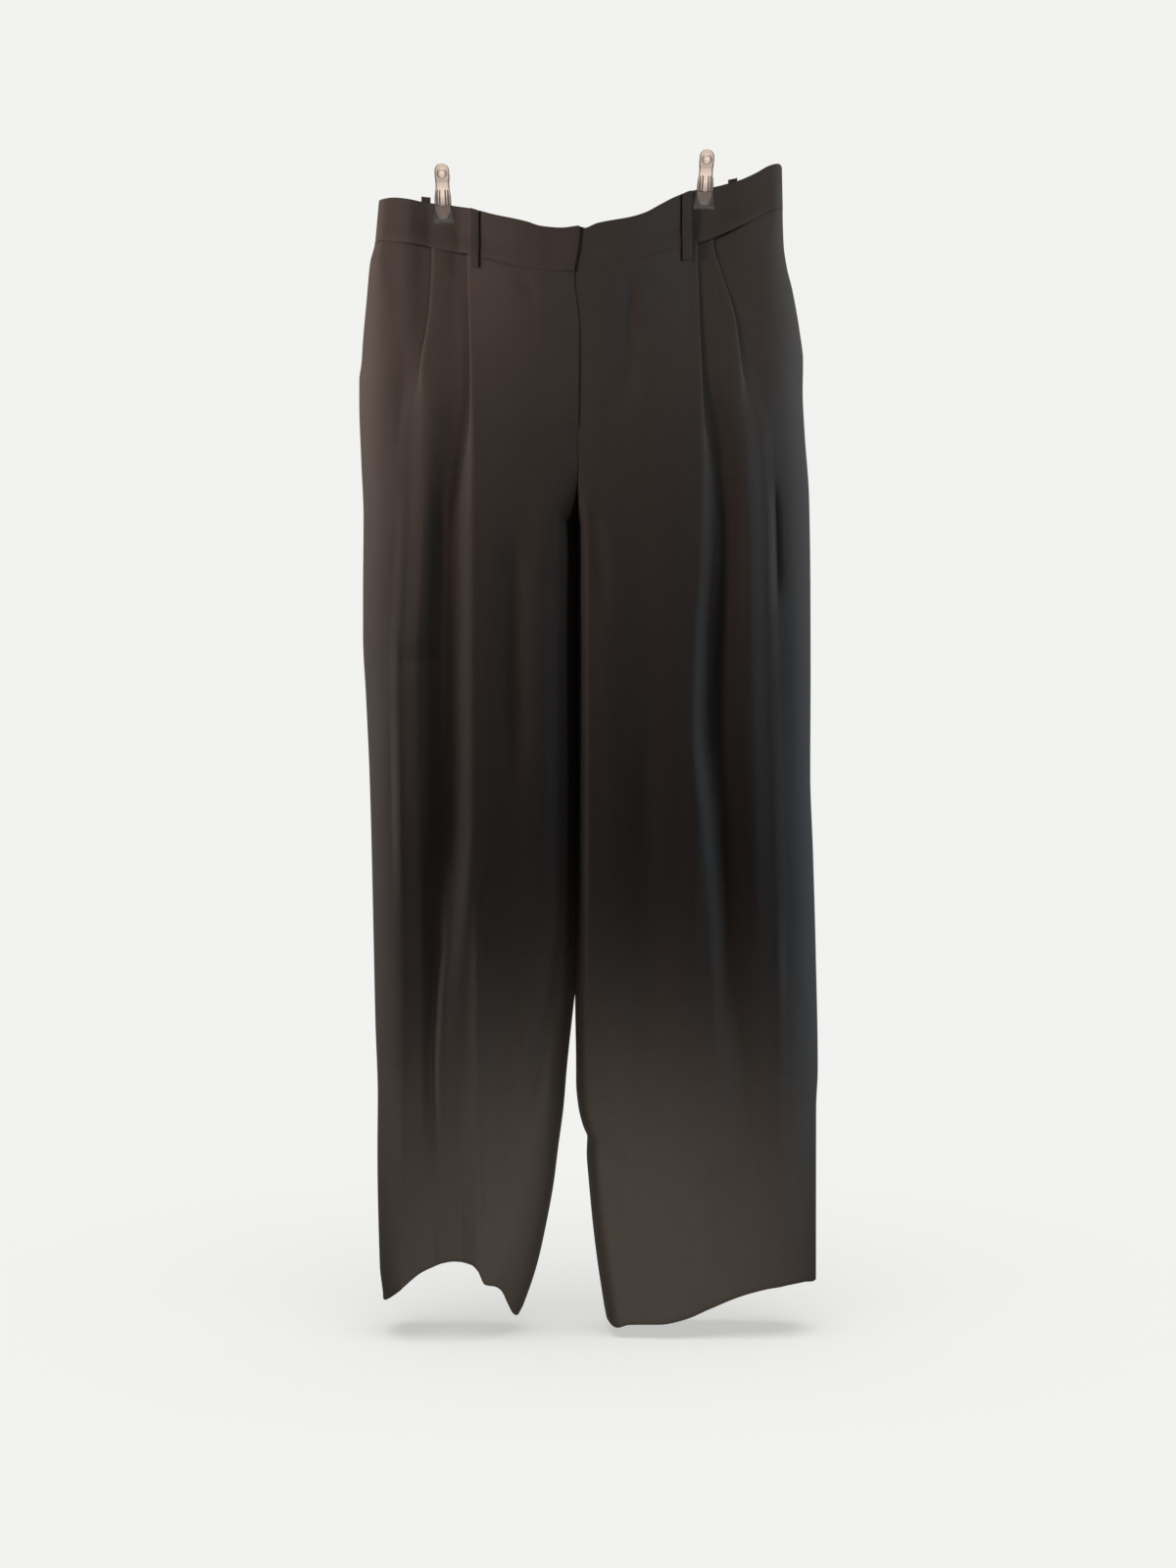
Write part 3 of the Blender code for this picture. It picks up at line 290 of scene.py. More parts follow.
class Leg:
    """One leg's outline from the front, its depth and its folds."""

    def __init__(self, name, side, outer, inner, hem, depth, pleats, folds, back_folds):
        self.name, self.side = name, side
        self.outer, self.inner, self.hem = Curve(outer), Curve(inner), Curve(hem)
        self.hem_out = max(hem, key=lambda row: side * row[0])[0]
        self.hem_in = min(hem, key=lambda row: side * row[0])[0]
        self.seam_out, self.seam_in = outer[0][1], inner[0][1]
        front, back, self.out_radius, self.in_radius, self.middle = columns(depth, 1, 2, 3, 4, 5)
        self.depth = {"front": front, "back": back}
        self.pleats = [columns(rows, 1, 2, 3, 4) for rows in pleats]
        self.folds = {
            panel: [columns(rows, 1, 2, 3) for rows in lines]
            for panel, lines in (("front", folds), ("back", back_folds))
        }

    def height(self, share, q):
        """z at a share of the way down, q of the way in from the side seam."""
        seam = WAIST_SEAM(mix(self.seam_out, self.seam_in, q)) - SEAM_GAP
        hem = self.hem(mix(self.hem_out, self.hem_in, q))
        return mix(seam, hem, share)

    def edges(self, share):
        return self.outer(self.height(share, 0.0)), self.inner(self.height(share, 1.0))

    def across(self, share, x):
        out, inner = self.edges(share)
        return clamp((x - out) / (inner - out))

    def height_at(self, share, x):
        return self.height(share, self.across(share, x))

    def at(self, line, share):
        """Where a line that is tabled against z meets the row at this share."""
        x = line(self.height(share, 0.5))
        for _ in range(3):
            x = line(self.height_at(share, x))
        return x

    def fold_depth(self, panel, x, z):
        """How far the folds press the cloth in at this place; a ridge is negative."""
        folds = self.folds[panel]
        return sum(depth(z) * bell((x - line(z)) / width(z)) for line, depth, width in folds)


RIGHT_LEG = Leg(
    name="right",
    side=-1,
    # z, x of the side seam
    outer=[
        (-65, -198.7), (-86, -203.5), (-125, -207), (-163, -210.5), (-184, -212), (-201, -214.2),
        (-221, -214.2), (-278, -212.3), (-336, -210), (-403, -210.5), (-451, -210.5), (-509, -207.6),
        (-586, -204), (-653, -202), (-739, -200), (-826, -198), (-902, -195.5), (-950, -195.8),
        (-1066, -193.2), (-1096, -190),
    ],
    # z, x of the fly edge above the fork and of the inseam below it
    inner=[
        (-99, -2.9), (-112, -2.9), (-130, -0.4), (-157, 1.9), (-250, 1.0), (-300, 0.6), (-345, 0.8),
        (-380, 1.4), (-499, 1.4), (-653, 0.7), (-739, -0.3), (-787, -1.8), (-816, -4.4), (-874, -10.4),
        (-912, -13.6), (-950, -18.6), (-989, -23.6), (-1027, -30.6), (-1066, -39.3), (-1106, -52.8),
        (-1117, -57.6),
    ],
    # x, z of the hem
    hem=[
        (-190, -1096), (-182, -1090), (-171, -1080), (-148, -1061), (-136, -1056), (-119, -1052.5),
        (-102, -1054.5), (-95, -1060), (-88.5, -1072.5), (-78, -1076), (-72, -1082), (-66, -1097),
        (-61, -1110), (-57.6, -1114),
    ],
    # z, front depth, back depth, radius at the side seam, radius at the inseam, middle's y
    depth=[
        (-65, 14, 16, 10, 20, 0), (-130, 26, 30, 26, 22, 0), (-200, 36, 44, 38, 26, 1),
        (-330, 42, 52, 40, 27, 2), (-450, 43, 48, 40, 22, 2), (-650, 42, 42, 38, 18, 0),
        (-850, 44, 42, 34, 26, -2), (-1000, 50, 44, 28, 28, -3), (-1100, 54, 46, 24, 26, -4),
    ],
    # Each pleat and the fold it falls into: z, x of its edge, cloth under it, its height, how far it has opened
    pleats=[
        [
            (-72, -141.3, 22, 3.3, 0), (-128, -143.2, 16, 3.5, 0), (-197, -149.8, 7, 4.6, 0.3),
            (-237, -147, 2, 5.5, 0.8), (-307, -147, 0, 5, 1), (-420, -150.6, 0, 4.5, 1),
            (-467, -153.5, 0, 3.5, 1), (-600, -152, 0, 2.5, 1), (-800, -149, 0, 0, 1),
        ],
        [
            (-76, -106.6, 26, 3.3, 0), (-134, -105, 20, 3.7, 0), (-211, -101.9, 10, 6, 0.15),
            (-288, -100.4, 3, 11, 0.6), (-365, -100.4, 0, 15, 1), (-624, -100.4, 0, 15, 1),
            (-739, -105.8, 0, 10, 1), (-800, -110.7, 0, 5, 1), (-870, -112.7, 0, 2, 1), (-980, -111, 0, 0, 1),
        ],
    ],
    # Front folds: z, x, depth, half width
    folds=[
        [(-600, -150, 0, 10), (-700, -147, 4, 12), (-790, -139, 8, 13), (-853, -139, 9, 14),
         (-936, -129, 9, 15), (-1070, -117, 8, 15)],
        [(-700, -93, 0, 9), (-800, -93, -4, 9), (-1080, -93, -5, 10)],
        [(-720, -20, 0, 8), (-780, -24, 5, 8), (-850, -35, 6, 9), (-907, -46, 4, 9), (-960, -51, 0, 9)],
        [(-330, -61, 0, 12), (-400, -61, 3, 12), (-520, -61, 3, 12), (-620, -61, 0, 12)],
    ],
    back_folds=[
        [(-110, -92, 2, 16), (-250, -96, 6, 18), (-420, -100, 9, 18), (-700, -104, 9, 17),
         (-900, -108, 6, 16), (-1090, -112, 3, 16)],
        [(-300, -42, 0, 14), (-480, -44, 6, 15), (-760, -52, 7, 14), (-1000, -66, 3, 12)],
        [(-200, -158, 0, 14), (-380, -156, 5, 15), (-640, -152, 4, 15), (-900, -150, 6, 14),
         (-1080, -148, 5, 13)],
    ],
)

LEFT_LEG = Leg(
    name="left",
    side=1,
    outer=[
        (-33, 201), (-67, 202), (-91, 205.3), (-110, 210), (-130, 214), (-154, 218), (-182, 221.2),
        (-211, 220.8), (-250, 222.6), (-317, 227.2), (-403, 228.4), (-490, 228.6), (-586, 228.2),
        (-662, 230.8), (-758, 233.4), (-874, 235.4), (-912, 233.8), (-1080, 233.6),
    ],
    inner=[
        (-99, -2.9), (-112, -2.9), (-130, -0.4), (-157, 1.9), (-250, 1.0), (-300, 0.9), (-345, 1.2),
        (-380, 1.9), (-499, 1.9), (-653, 1.2), (-739, 0.2), (-787, -1.2), (-840, -1.6), (-888, -1.6),
        (-912, 0.6), (-931, 5.4), (-941, 9.4), (-958, 8.8), (-980, 10.4), (-1027, 14.8), (-1066, 19.6),
        (-1104, 25.4), (-1124, 28.4),
    ],
    hem=[
        (28.8, -1117), (36.5, -1119.5), (50, -1115.5), (81, -1114.5), (104, -1109.5), (127, -1099.5),
        (157, -1087.5), (188, -1079.5), (219, -1076), (233.5, -1079),
    ],
    depth=[
        (-33, 14, 16, 10, 20, 0), (-110, 26, 30, 26, 20, 0), (-200, 36, 44, 40, 14, 1),
        (-330, 42, 52, 42, 9, 2), (-450, 44, 50, 42, 9, 2), (-650, 44, 44, 40, 10, 1),
        (-850, 44, 42, 40, 12, 0), (-1000, 44, 42, 38, 14, 0), (-1110, 44, 42, 36, 16, 0),
    ],
    pleats=[
        [
            (-62, 131, 11, 3.3, 0), (-105, 142, 11, 3.4, 0), (-143, 152, 10, 3.8, 0.05),
            (-183, 155.4, 6, 4.6, 0.25), (-227, 157, 3, 5.5, 0.6), (-254, 160, 1, 6, 0.9),
            (-365, 165, 0, 6.5, 1), (-467, 166, 0, 6, 1), (-557, 168, 0, 4.5, 1), (-653, 171.2, 0, 3, 1),
            (-749, 173.4, 0, 1.5, 1), (-860, 175, 0, 0, 1),
        ],
        [
            (-66, 115.8, 26, 3.3, 0), (-134, 117.5, 20, 3.7, 0), (-211, 119, 10, 6, 0.15),
            (-288, 119.8, 3, 11, 0.6), (-380, 117, 0, 16, 1), (-466, 111.5, 0, 18, 1),
            (-547, 109.5, 0, 18, 1), (-624, 116, 0, 16, 1), (-749, 126.4, 0, 13, 1), (-826, 130.2, 0, 9, 1),
            (-883, 134.6, 0, 5, 1), (-960, 135.6, 0, 2.5, 1), (-1100, 134, 0, 1, 1),
        ],
    ],
    folds=[
        [(-90, 52, 0, 5), (-115, 52, 3, 5), (-145, 51, 3, 6), (-200, 51, 1.5, 8), (-240, 51, 0, 8)],
        [(-290, 187, 0, 8), (-340, 187, 3, 9), (-390, 190, 2, 9), (-430, 191, 0, 9)],
        [(-500, 59, 0, 20), (-650, 61, 4, 22), (-850, 65, 4, 22), (-1000, 69, 0, 20)],
    ],
    back_folds=[
        [(-110, 92, 2, 16), (-250, 98, 6, 18), (-430, 106, 9, 18), (-700, 112, 9, 18), (-920, 118, 5, 18),
         (-1090, 122, 3, 18)],
        [(-300, 44, 0, 14), (-500, 48, 6, 16), (-800, 56, 7, 16), (-1050, 70, 4, 15)],
        [(-200, 166, 0, 14), (-420, 168, 5, 16), (-700, 174, 5, 16), (-1080, 178, 3, 16)],
    ],
)
LEGS = (RIGHT_LEG, LEFT_LEG)

# A pleat's seven points, from outside inwards. Closed, it runs under its edge and back again: x in units of the
# cloth under it, x in units of the bend's radius, share of its height. Open, it is a slope: x in units of its
# width, share of its height.
PLEAT_CLOSED = (
    (0.0, None, 1.0), (1.0, 0.0, 1.0), (1.0, 1.0, 0.75), (1.0, 0.0, 0.5), (0.0, 0.0, 0.5), (0.0, -1.0, 0.25),
    (0.0, 0.0, 0.0),
)
PLEAT_OPEN = ((1.6, 0.97), (1.2, 0.96), (0.93, 0.83), (0.68, 0.6), (0.44, 0.33), (0.2, 0.1), (0.0, 0.0))
# How far outside its edge a closed pleat starts, an open one's width, and how far its rise takes to level out
PLEAT_LEAD, PLEAT_SLOPE, PLEAT_REACH = 9.0, 17.0, 44.0


def fork(leg, share, panel):
    """How far the centre seam has turned in under the body, from 0 above the fork to 1 at the inseam."""
    z = leg.height(share, 1.0)
    top = FORK_TOP[panel]
    t = clamp((top - z) / (top - CROTCH))
    return 1 - math.sqrt(max(0.0, 1 - t * t))


def centre_facing(leg, panel, share):
    """The way a panel's centre edge faces: to the front or back, until the fork turns it to the inseam."""
    turn = fork(leg, share, panel)
    angle = math.pi / 2 * min(1.0, 0.3 + 2 * turn) if turn > 0 else 0.0
    return -leg.side * math.sin(angle), FORWARD[panel] * math.cos(angle)


def row_ends(leg, panel, share):
    """x of a row's middle line at the side seam and at the centre or inseam."""
    out, inner = leg.edges(share)
    centre = inner if panel == "front" else mix(0.0, inner, ease(fork(leg, share, panel)))
    turned = abs(centre_facing(leg, panel, share)[0])
    first = out - leg.side * CLOTH / 2
    return first, centre + leg.side * (EDGE_OFF + turned * SHEET / 2)


def pocket_gape(panel, share):
    """How far the front's edge stands off the side seam at the pocket's mouth."""
    t = (share - POCKET_MOUTH[0]) / (POCKET_MOUTH[1] - POCKET_MOUTH[0])
    return POCKET_GAPE * math.sin(math.pi * t) ** 2 if panel == "front" and 0 < t < 1 else 0.0


def body_depth(leg, panel, share, x):
    """How far the cloth stands from the middle plane, before its edges turn in and before its folds."""
    q = leg.across(share, x)
    z = leg.height(share, q)
    below = (WAIST_SEAM(mix(leg.seam_out, leg.seam_in, q)) - z) / WAIST_TO_HIP
    crown = 1 - CROWN + CROWN * math.sin(math.pi * q)
    depth = mix(WAIST_DEPTHS[panel][2](x) + FLUSH, leg.depth[panel](z) * crown, ease(below))
    if panel == "front" and leg.side < 0 and z > FLY_BOTTOM:
        depth += FLY_PROUD * ease(1 - abs(x - leg.inner(z)) / FLY_WIDTH)
    return depth


def folded(z):
    """How much of the folds and creases shows at this height, from 0 at the waist to 1."""
    return ease((FOLDS_FROM - z) / (FOLDS_FROM - FOLDS_FULL_AT))


def surface_y(leg, panel, share, x, press=0.0):
    """y of the middle of the cloth at x in this row. press moves it towards the middle of the garment."""
    forward = FORWARD[panel]
    first, last = row_ends(leg, panel, share)
    z = leg.height_at(share, x)
    edge_share = quarter(leg.side * (first - x) / leg.out_radius(z))
    depth = body_depth(leg, panel, share, x) - press - leg.fold_depth(panel, x, z) * folded(z)
    at_edge = EDGE_OFF + pocket_gape(panel, share)
    y = leg.middle(z) + forward * math.hypot(at_edge, depth * edge_share)
    turn = fork(leg, share, panel)
    if turn > 0:
        end = mix(y, CROTCH_DEPTH + forward * SEAM_GAP / 2, turn)
        y = mix(end, y, quarter(leg.side * (x - last) / leg.in_radius(z)))
    return y


def lapped(leg, share, path):
    """A row's points in space. Near the inseams they move sideways: the left leg laps the right in front."""
    points = []
    for x, y in path:
        z = leg.height_at(share, x)
        off = (y - CROTCH_DEPTH) / LAP_DEPTH
        held = ease((FORK_TOP["front"] - z) / LAP_STARTS_OVER) * ease((z - LAP_BOTTOM) / LAP_ENDS_OVER)
        near = math.exp(0.5 - off**2 / 2 - (x / LAP_WIDTH) ** 2)
        points.append((x + LAP * off * near * held, y, z))
    return points


# Thin cloth folds flatter than the solid: shares of a pleat's height, closed and open, and of its cloth
PLEAT_RISES = 0.62, 0.75
PLEAT_TUCKED = 0.6
# Soft creases pressed into the legs' cloth: x and z of both ends, depth, half width. A ridge is negative.
CREASES = {
    ("front", "right"): [
        ((-206, -468), (-172, -478), 1.1, 10), ((-172, -478), (-128, -474), 0.9, 10),
        ((-204, -452), (-150, -458), -0.8, 11), ((-91, -700), (-89, -1060), 1.8, 3.2),
        ((-95, -700), (-93, -1060), -1.2, 4), ((-22, -786), (-46, -902), 2.4, 9),
        ((-59, -100), (-38, -126), 1.2, 7), ((-170, -160), (-150, -330), 1.2, 12),
        ((-126, -250), (-120, -560), -1.4, 8), ((-176, -540), (-178, -1000), 1.6, 13),
        ((-66, -380), (-60, -900), 1.6, 15), ((-34, -300), (-30, -620), -1.5, 14),
        ((-14, -330), (-26, -420), 2.0, 8), ((-13, -345), (-15, -900), 5.0, 11),
        ((-160, -640), (-148, -980), -1.2, 7), ((-128, -900), (-122, -1040), -1.4, 6),
    ],
    ("front", "left"): [
        ((173, -880), (230, -878), 0.9, 7), ((176, -892), (228, -891), -0.6, 8),
        ((146, -150), (148, -860), -2.0, 9), ((164, -440), (172, -760), 2.4, 8),
        ((112, -540), (112, -800), -1.6, 8), ((64, -300), (60, -1040), 1.2, 20),
        ((30, -320), (34, -760), -1.4, 14), ((14, -330), (28, -430), 2.0, 9),
        ((196, -420), (206, -820), 1.4, 13), ((90, -620), (80, -1060), 1.2, 12),
        ((40, -880), (58, -1060), -1.2, 12), ((12, -930), (44, -966), 2.2, 9),
        ((130, -960), (140, -1090), 1.4, 7), ((182, -300), (190, -420), 1.6, 8),
        ((62, -100), (80, -130), 1.0, 7),
    ],
    ("back", "right"): [
        ((-10, -300), (-60, -380), 2.4, 9), ((-14, -330), (-74, -350), 2.0, 8),
        ((-120, -420), (-126, -980), 1.6, 12), ((-80, -520), (-84, -1040), -1.4, 10),
        ((-190, -470), (-140, -478), 1.6, 8), ((-176, -300), (-172, -760), 1.4, 12),
        ((-60, -860), (-72, -1040), 1.4, 9),
    ],
    ("back", "left"): [
        ((10, -300), (62, -386), 2.4, 9), ((14, -334), (80, -352), 2.0, 8),
        ((134, -420), (142, -1020), 1.6, 12), ((84, -500), (90, -1060), -1.4, 10),
        ((226, -876), (176, -884), 1.6, 7), ((190, -300), (196, -800), 1.4, 12),
        ((50, -880), (66, -1080), 1.4, 9),
    ],
}
# The back's darts: x and z at the waist seam, x and z of the point
DARTS = {"right": ((-92, -86), (-88, -172)), "left": ((98, -78), (94, -166))}
DART_DEPTH, DART_WIDTH = 1.0, 1.6
# The cloth's own unevenness: its depth, and how far apart it changes across and down
UNEVEN, UNEVEN_ACROSS, UNEVEN_DOWN = 0.9, 34.0, 190.0
FINE_UNEVEN, FINE_ACROSS, FINE_DOWN = 0.22, 13.0, 46.0
# The side seams' puckers: depth, how far apart they are, how far in from the seam they reach
PUCKER, PUCKER_PITCH, PUCKER_REACH = 0.22, 11.0, 7.0


def along(point, start, end):
    """How far off a point is from a stretch of crease, and how far along it, from 0 to 1."""
    run = Vector(end) - Vector(start)
    t = (Vector(point) - Vector(start)).dot(run) / run.length_squared
    return (Vector(point) - (Vector(start) + run * clamp(t))).length, t


def pressed(panel, leg, x, z):
    """How far the scene's finer creases and the cloth's unevenness press it in at this place."""
    depth = 0.0
    for start, end, deep, width in CREASES[panel, leg.name]:
        if min(start[1], end[1]) - 3 * width < z < max(start[1], end[1]) + 3 * width:
            off, t = along((x, z), start, end)
            depth += deep * bell(off / width) * ease(3 * min(t, 1 - t) + 0.35)
    if panel == "back":
        off, t = along((x, z), *DARTS[leg.name])
        depth += DART_DEPTH * bell(off / DART_WIDTH) * ease(6 * (1 - t))
    seed = 3.0 if panel == "front" else 17.0
    depth += UNEVEN * noise.noise((x / UNEVEN_ACROSS, z / UNEVEN_DOWN, seed + leg.side))
    depth += FINE_UNEVEN * noise.noise((x / FINE_ACROSS, z / FINE_DOWN, seed - leg.side))
    return depth


def detailed_y(panel, leg, share, x, press=0.0):
    """y of the cloth with its finer creases, and puckered along the side seam."""
    z = leg.height_at(share, x)
    fine = pressed(panel, leg, x, z) * folded(z)
    first, _ = row_ends(leg, panel, share)
    near = math.exp(-abs(x - first) / PUCKER_REACH)
    fine += PUCKER * near * math.sin(2 * math.pi * z / PUCKER_PITCH)
    return surface_y(leg, panel, share, x, press + fine)


def pleat_points(leg, pleat, share, sunk):
    """One pleat's points from the side seam inwards, and how deep the cloth lies outside it."""
    line, under, height, opened = pleat
    edge = leg.at(line, share)
    z = leg.height_at(share, edge)
    cloth, open_share = under(z) * PLEAT_TUCKED, opened(z)
    rise = height(z) * mix(*PLEAT_RISES, open_share)
    points = []
    for (run, bend, up), (slope, open_up) in zip(PLEAT_CLOSED, PLEAT_OPEN):
        closed_x = PLEAT_LEAD * leg.side if bend is None else -leg.side * (run * cloth + bend * rise / 4)
        open_x = leg.side * slope * PLEAT_SLOPE
        x = edge + mix(closed_x, open_x, open_share)
        press = sunk + rise * mix(up, open_up, open_share)
        at = edge if bend is not None else x
        points.append((x, detailed_y("front", leg, share, at, press)))
    return edge, rise, points


def spread(start, end, count):
    """count places between start and end, not counting either."""
    return [mix(start, end, (n + 1) / (count + 1)) for n in range(count)]


def rounded(edge, inwards, radius, count):
    """Places from an edge inwards, closer together where the cloth turns."""
    return [edge + inwards * radius * (1 - math.cos(math.pi / 2 * n / count)) for n in range(count + 1)]


def blend(points, low, high, t):
    """Points at t between each two neighbours, which stand at the knots in low and high."""
    pairs = zip(points, points[1:], low, high)
    return [(p * (k1 - t) + q * (t - k0)) / (k1 - k0) for p, q, k0, k1 in pairs]


def smooth(path, steps):
    """A path with points put in between, on a curve through its own that doesn't loop at tight bends."""
    points = [Vector(point) for point in path]
    ends = [2 * points[0] - points[1], *points, 2 * points[-1] - points[-2]]
    made = []
    for a, b, c, d in zip(ends, ends[1:], ends[2:], ends[3:]):
        knots = [0.0]
        for start, end in ((a, b), (b, c), (c, d)):
            knots.append(knots[-1] + max(1e-4, (end - start).length) ** 0.5)
        for step in range(steps):
            t = mix(knots[1], knots[2], step / steps)
            first = blend((a, b, c, d), knots, knots[1:], t)
            second = blend(first, knots, knots[2:], t)
            made += blend(second, knots[1:], knots[2:], t)
    return [*made, points[-1]]


def front_row(leg, share):
    """The middle line of one row of a front panel, from the side seam to the centre, as (x, y, z)."""
    first, last = row_ends(leg, "front", share)
    z_out, z_in = leg.height(share, 0.0), leg.height(share, 1.0)
    centre_places = rounded(last, leg.side, leg.in_radius(z_in), SIDE_STEPS)[::-1]
    inner_edge, inner_rise, inner_points = pleat_points(leg, leg.pleats[1], share, 0.0)
    gap = abs(leg.at(leg.pleats[0][0], share) - inner_edge)
    sunk = inner_rise * (1 - ease(gap / PLEAT_REACH))
    outer_edge, outer_rise, outer_points = pleat_points(leg, leg.pleats[0], share, sunk)
    foot = abs(outer_points[0][0] - outer_edge)

    def outside(x):
        return (sunk + outer_rise) * (1 - ease((abs(x - outer_edge) - foot) / PLEAT_REACH))

    turn = min(leg.out_radius(z_out), 0.8 * abs(outer_points[0][0] - first))
    side_places = rounded(first, -leg.side, turn, SIDE_STEPS)
    places = side_places + spread(side_places[-1], outer_points[0][0], OUTSIDE_STEPS)
    path = [(x, detailed_y("front", leg, share, x, outside(x))) for x in places]
    path += outer_points
    for n in range(1, BETWEEN_STEPS + 1):
        t = n / (BETWEEN_STEPS + 1)
        x = mix(outer_points[-1][0], inner_points[0][0], t)
        path.append((x, detailed_y("front", leg, share, x, mix(sunk, inner_rise, ease(t)))))
    path += inner_points
    places = spread(inner_points[-1][0], centre_places[0], INSIDE_STEPS) + centre_places
    path += [(x, detailed_y("front", leg, share, x)) for x in places]
    return lapped(leg, share, smooth(path, BEND_STEPS))


def back_row(leg, share):
    """The middle line of one row of a back panel, from the side seam to the centre."""
    first, last = row_ends(leg, "back", share)
    z_out, z_in = leg.height(share, 0.0), leg.height(share, 1.0)
    side_places = rounded(first, -leg.side, leg.out_radius(z_out), SIDE_STEPS)
    centre_places = rounded(last, leg.side, leg.in_radius(z_in), SIDE_STEPS)[::-1]
    places = side_places + spread(side_places[-1], centre_places[0], BACK_STEPS) + centre_places
    path = [(x, detailed_y("back", leg, share, x)) for x in places]
    return lapped(leg, share, smooth(path, BEND_STEPS))


def set_off(path, distance, outward):
    """A path moved sideways, to the outside of the garment where distance is positive."""
    moved = []
    for n, (x, y, z) in enumerate(path):
        before, after = path[max(n - 1, 0)], path[min(n + 1, len(path) - 1)]
        run = Vector((after[0] - before[0], after[1] - before[1]))
        run = run.normalized() if run.length > 1e-6 else Vector((1.0, 0.0))
        moved.append((x - run.y * outward * distance, y + run.x * outward * distance, z))
    return moved


def hem_rows(row, last, outward):
    """The hem's own cloth, turned up inside the leg: rows from its fold to its top edge."""
    turned = [set_off([(x, y, z - CLOTH / 3) for x, y, z in last], -CLOTH * HEM_FOLD_IN, outward)]
    for up in HEM_ROWS:
        share = 1.0 - HEM_TURN * up / PANEL_LENGTH
        turned.append(set_off(row(share), -CLOTH * HEM_TURNED_IN, outward))
    return turned


class Value:
    """A shader socket that takes Python's arithmetic."""

    def __init__(self, nodes, socket):
        self.nodes, self.socket = nodes, socket

    def math(self, operation, *values):
        return self.nodes.add("ShaderNodeMath", {"operation": operation}, dict(enumerate(values)))

    def __add__(self, other):
        return self.math("ADD", self, other)

    def __sub__(self, other):
        return self.math("SUBTRACT", self, other)

    def __mul__(self, other):
        return self.math("MULTIPLY", self, other)

    __radd__ = __add__
    __rmul__ = __mul__

    def sin(self):
        return self.math("SINE", self)

    def abs(self):
        return self.math("ABSOLUTE", self)


class Nodes:
    """The nodes of a material or the world. Constants go straight on the sockets of a material's shader."""

    def __init__(self, owner, **constants):
        owner.use_nodes = True
        self.owner, self.tree = owner, owner.node_tree
        for socket, value in constants.items():
            self.feed(socket.replace("_", " "), value)

    def feed(self, socket, value, node="Principled BSDF"):
        self.put(self.tree.nodes[node].inputs[socket], value)

    def put(self, socket, value):
        if isinstance(value, Value):
            self.tree.links.new(value.socket, socket)
        else:
            socket.default_value = value

    def add(self, kind, settings=None, values=None, output=0):
        """A node's output, with the node's settings, and its sockets' values or links."""
        node = self.tree.nodes.new(kind)
        for key, value in (settings or {}).items():
            setattr(node, key, value)
        for key, value in (values or {}).items():
            self.put(node.inputs[key], value)
        return Value(self, node.outputs[output])

    def mixed(self, share, a, b):
        """Two colours mixed by a share."""
        return self.add("ShaderNodeMix", {"data_type": "RGBA"}, {0: share, 6: a, 7: b}, 2)

    def place(self):
        """The object's own coordinates."""
        return self.add("ShaderNodeTexCoord", output="Object")

    def noise(self, place, scale, detail=2.0, roughness=0.5):
        values = {"Vector": place, "Scale": scale, "Detail": detail, "Roughness": roughness}
        return self.add("ShaderNodeTexNoise", {}, values)

    def stretched(self, place, across, down, detail=3.0, roughness=0.5):
        """Noise whose scale differs across and down."""
        scaled = self.add("ShaderNodeMapping", {}, {"Vector": place, "Scale": (across, down, 1.0)})
        return self.noise(scaled, 1.0, detail, roughness)

    def bump(self, height, strength, distance, normal=None):
        values = {"Height": height, "Strength": strength, "Distance": distance}
        if normal is not None:
            values["Normal"] = normal
        return self.add("ShaderNodeBump", {}, values)


def colour(rgb):
    return (*rgb, 1.0)


def dark_suiting(cloth):
    """Dark suiting: a fine plain weave of two close yarns, slubbed both ways, with a soft sheen."""
    nodes = Nodes(
        bpy.data.materials.new("dark_suiting"),
        Sheen_Weight=cloth.sheen,
        Sheen_Roughness=0.42,
        Sheen_Tint=colour(cloth.sheen_colour),
        Specular_IOR_Level=0.03,
    )
    place = nodes.add("ShaderNodeUVMap", {"uv_map": "cloth"})
    across, down = (nodes.add("ShaderNodeSeparateXYZ", {}, {0: place}, axis) for axis in "XY")
    turn = math.pi / cloth.yarn
    weave = (across * turn).sin() * (down * turn).sin()
    warp = nodes.stretched(place, 900.0, 26.0)
    weft = nodes.stretched(place, 22.0, 800.0)
    mottle = nodes.stretched(place, 26.0, 14.0, roughness=0.6)
    yarn = 0.5 + (warp - 0.5) * 0.5 + (weft - 0.5) * 0.4 + weave * 0.14
    tone = nodes.mixed(yarn, colour(cloth.dark_yarn), colour(cloth.light_yarn))
    worn = nodes.mixed((mottle - 0.35) * 0.5, tone, colour(cloth.faded))
    nodes.feed("Base Color", worn)
    nodes.feed("Roughness", 0.74 + (mottle - 0.5) * 0.25 + (warp - 0.5) * 0.1)
    crumple = nodes.stretched(place, 70.0, 40.0, roughness=0.55)
    soft = nodes.bump(crumple, 0.25, 0.0008)
    slub = nodes.bump(warp + weft, 0.1, 0.0001, soft)
    nodes.feed("Normal", nodes.bump(weave, 0.25, 0.00012, slub))
    return nodes.owner


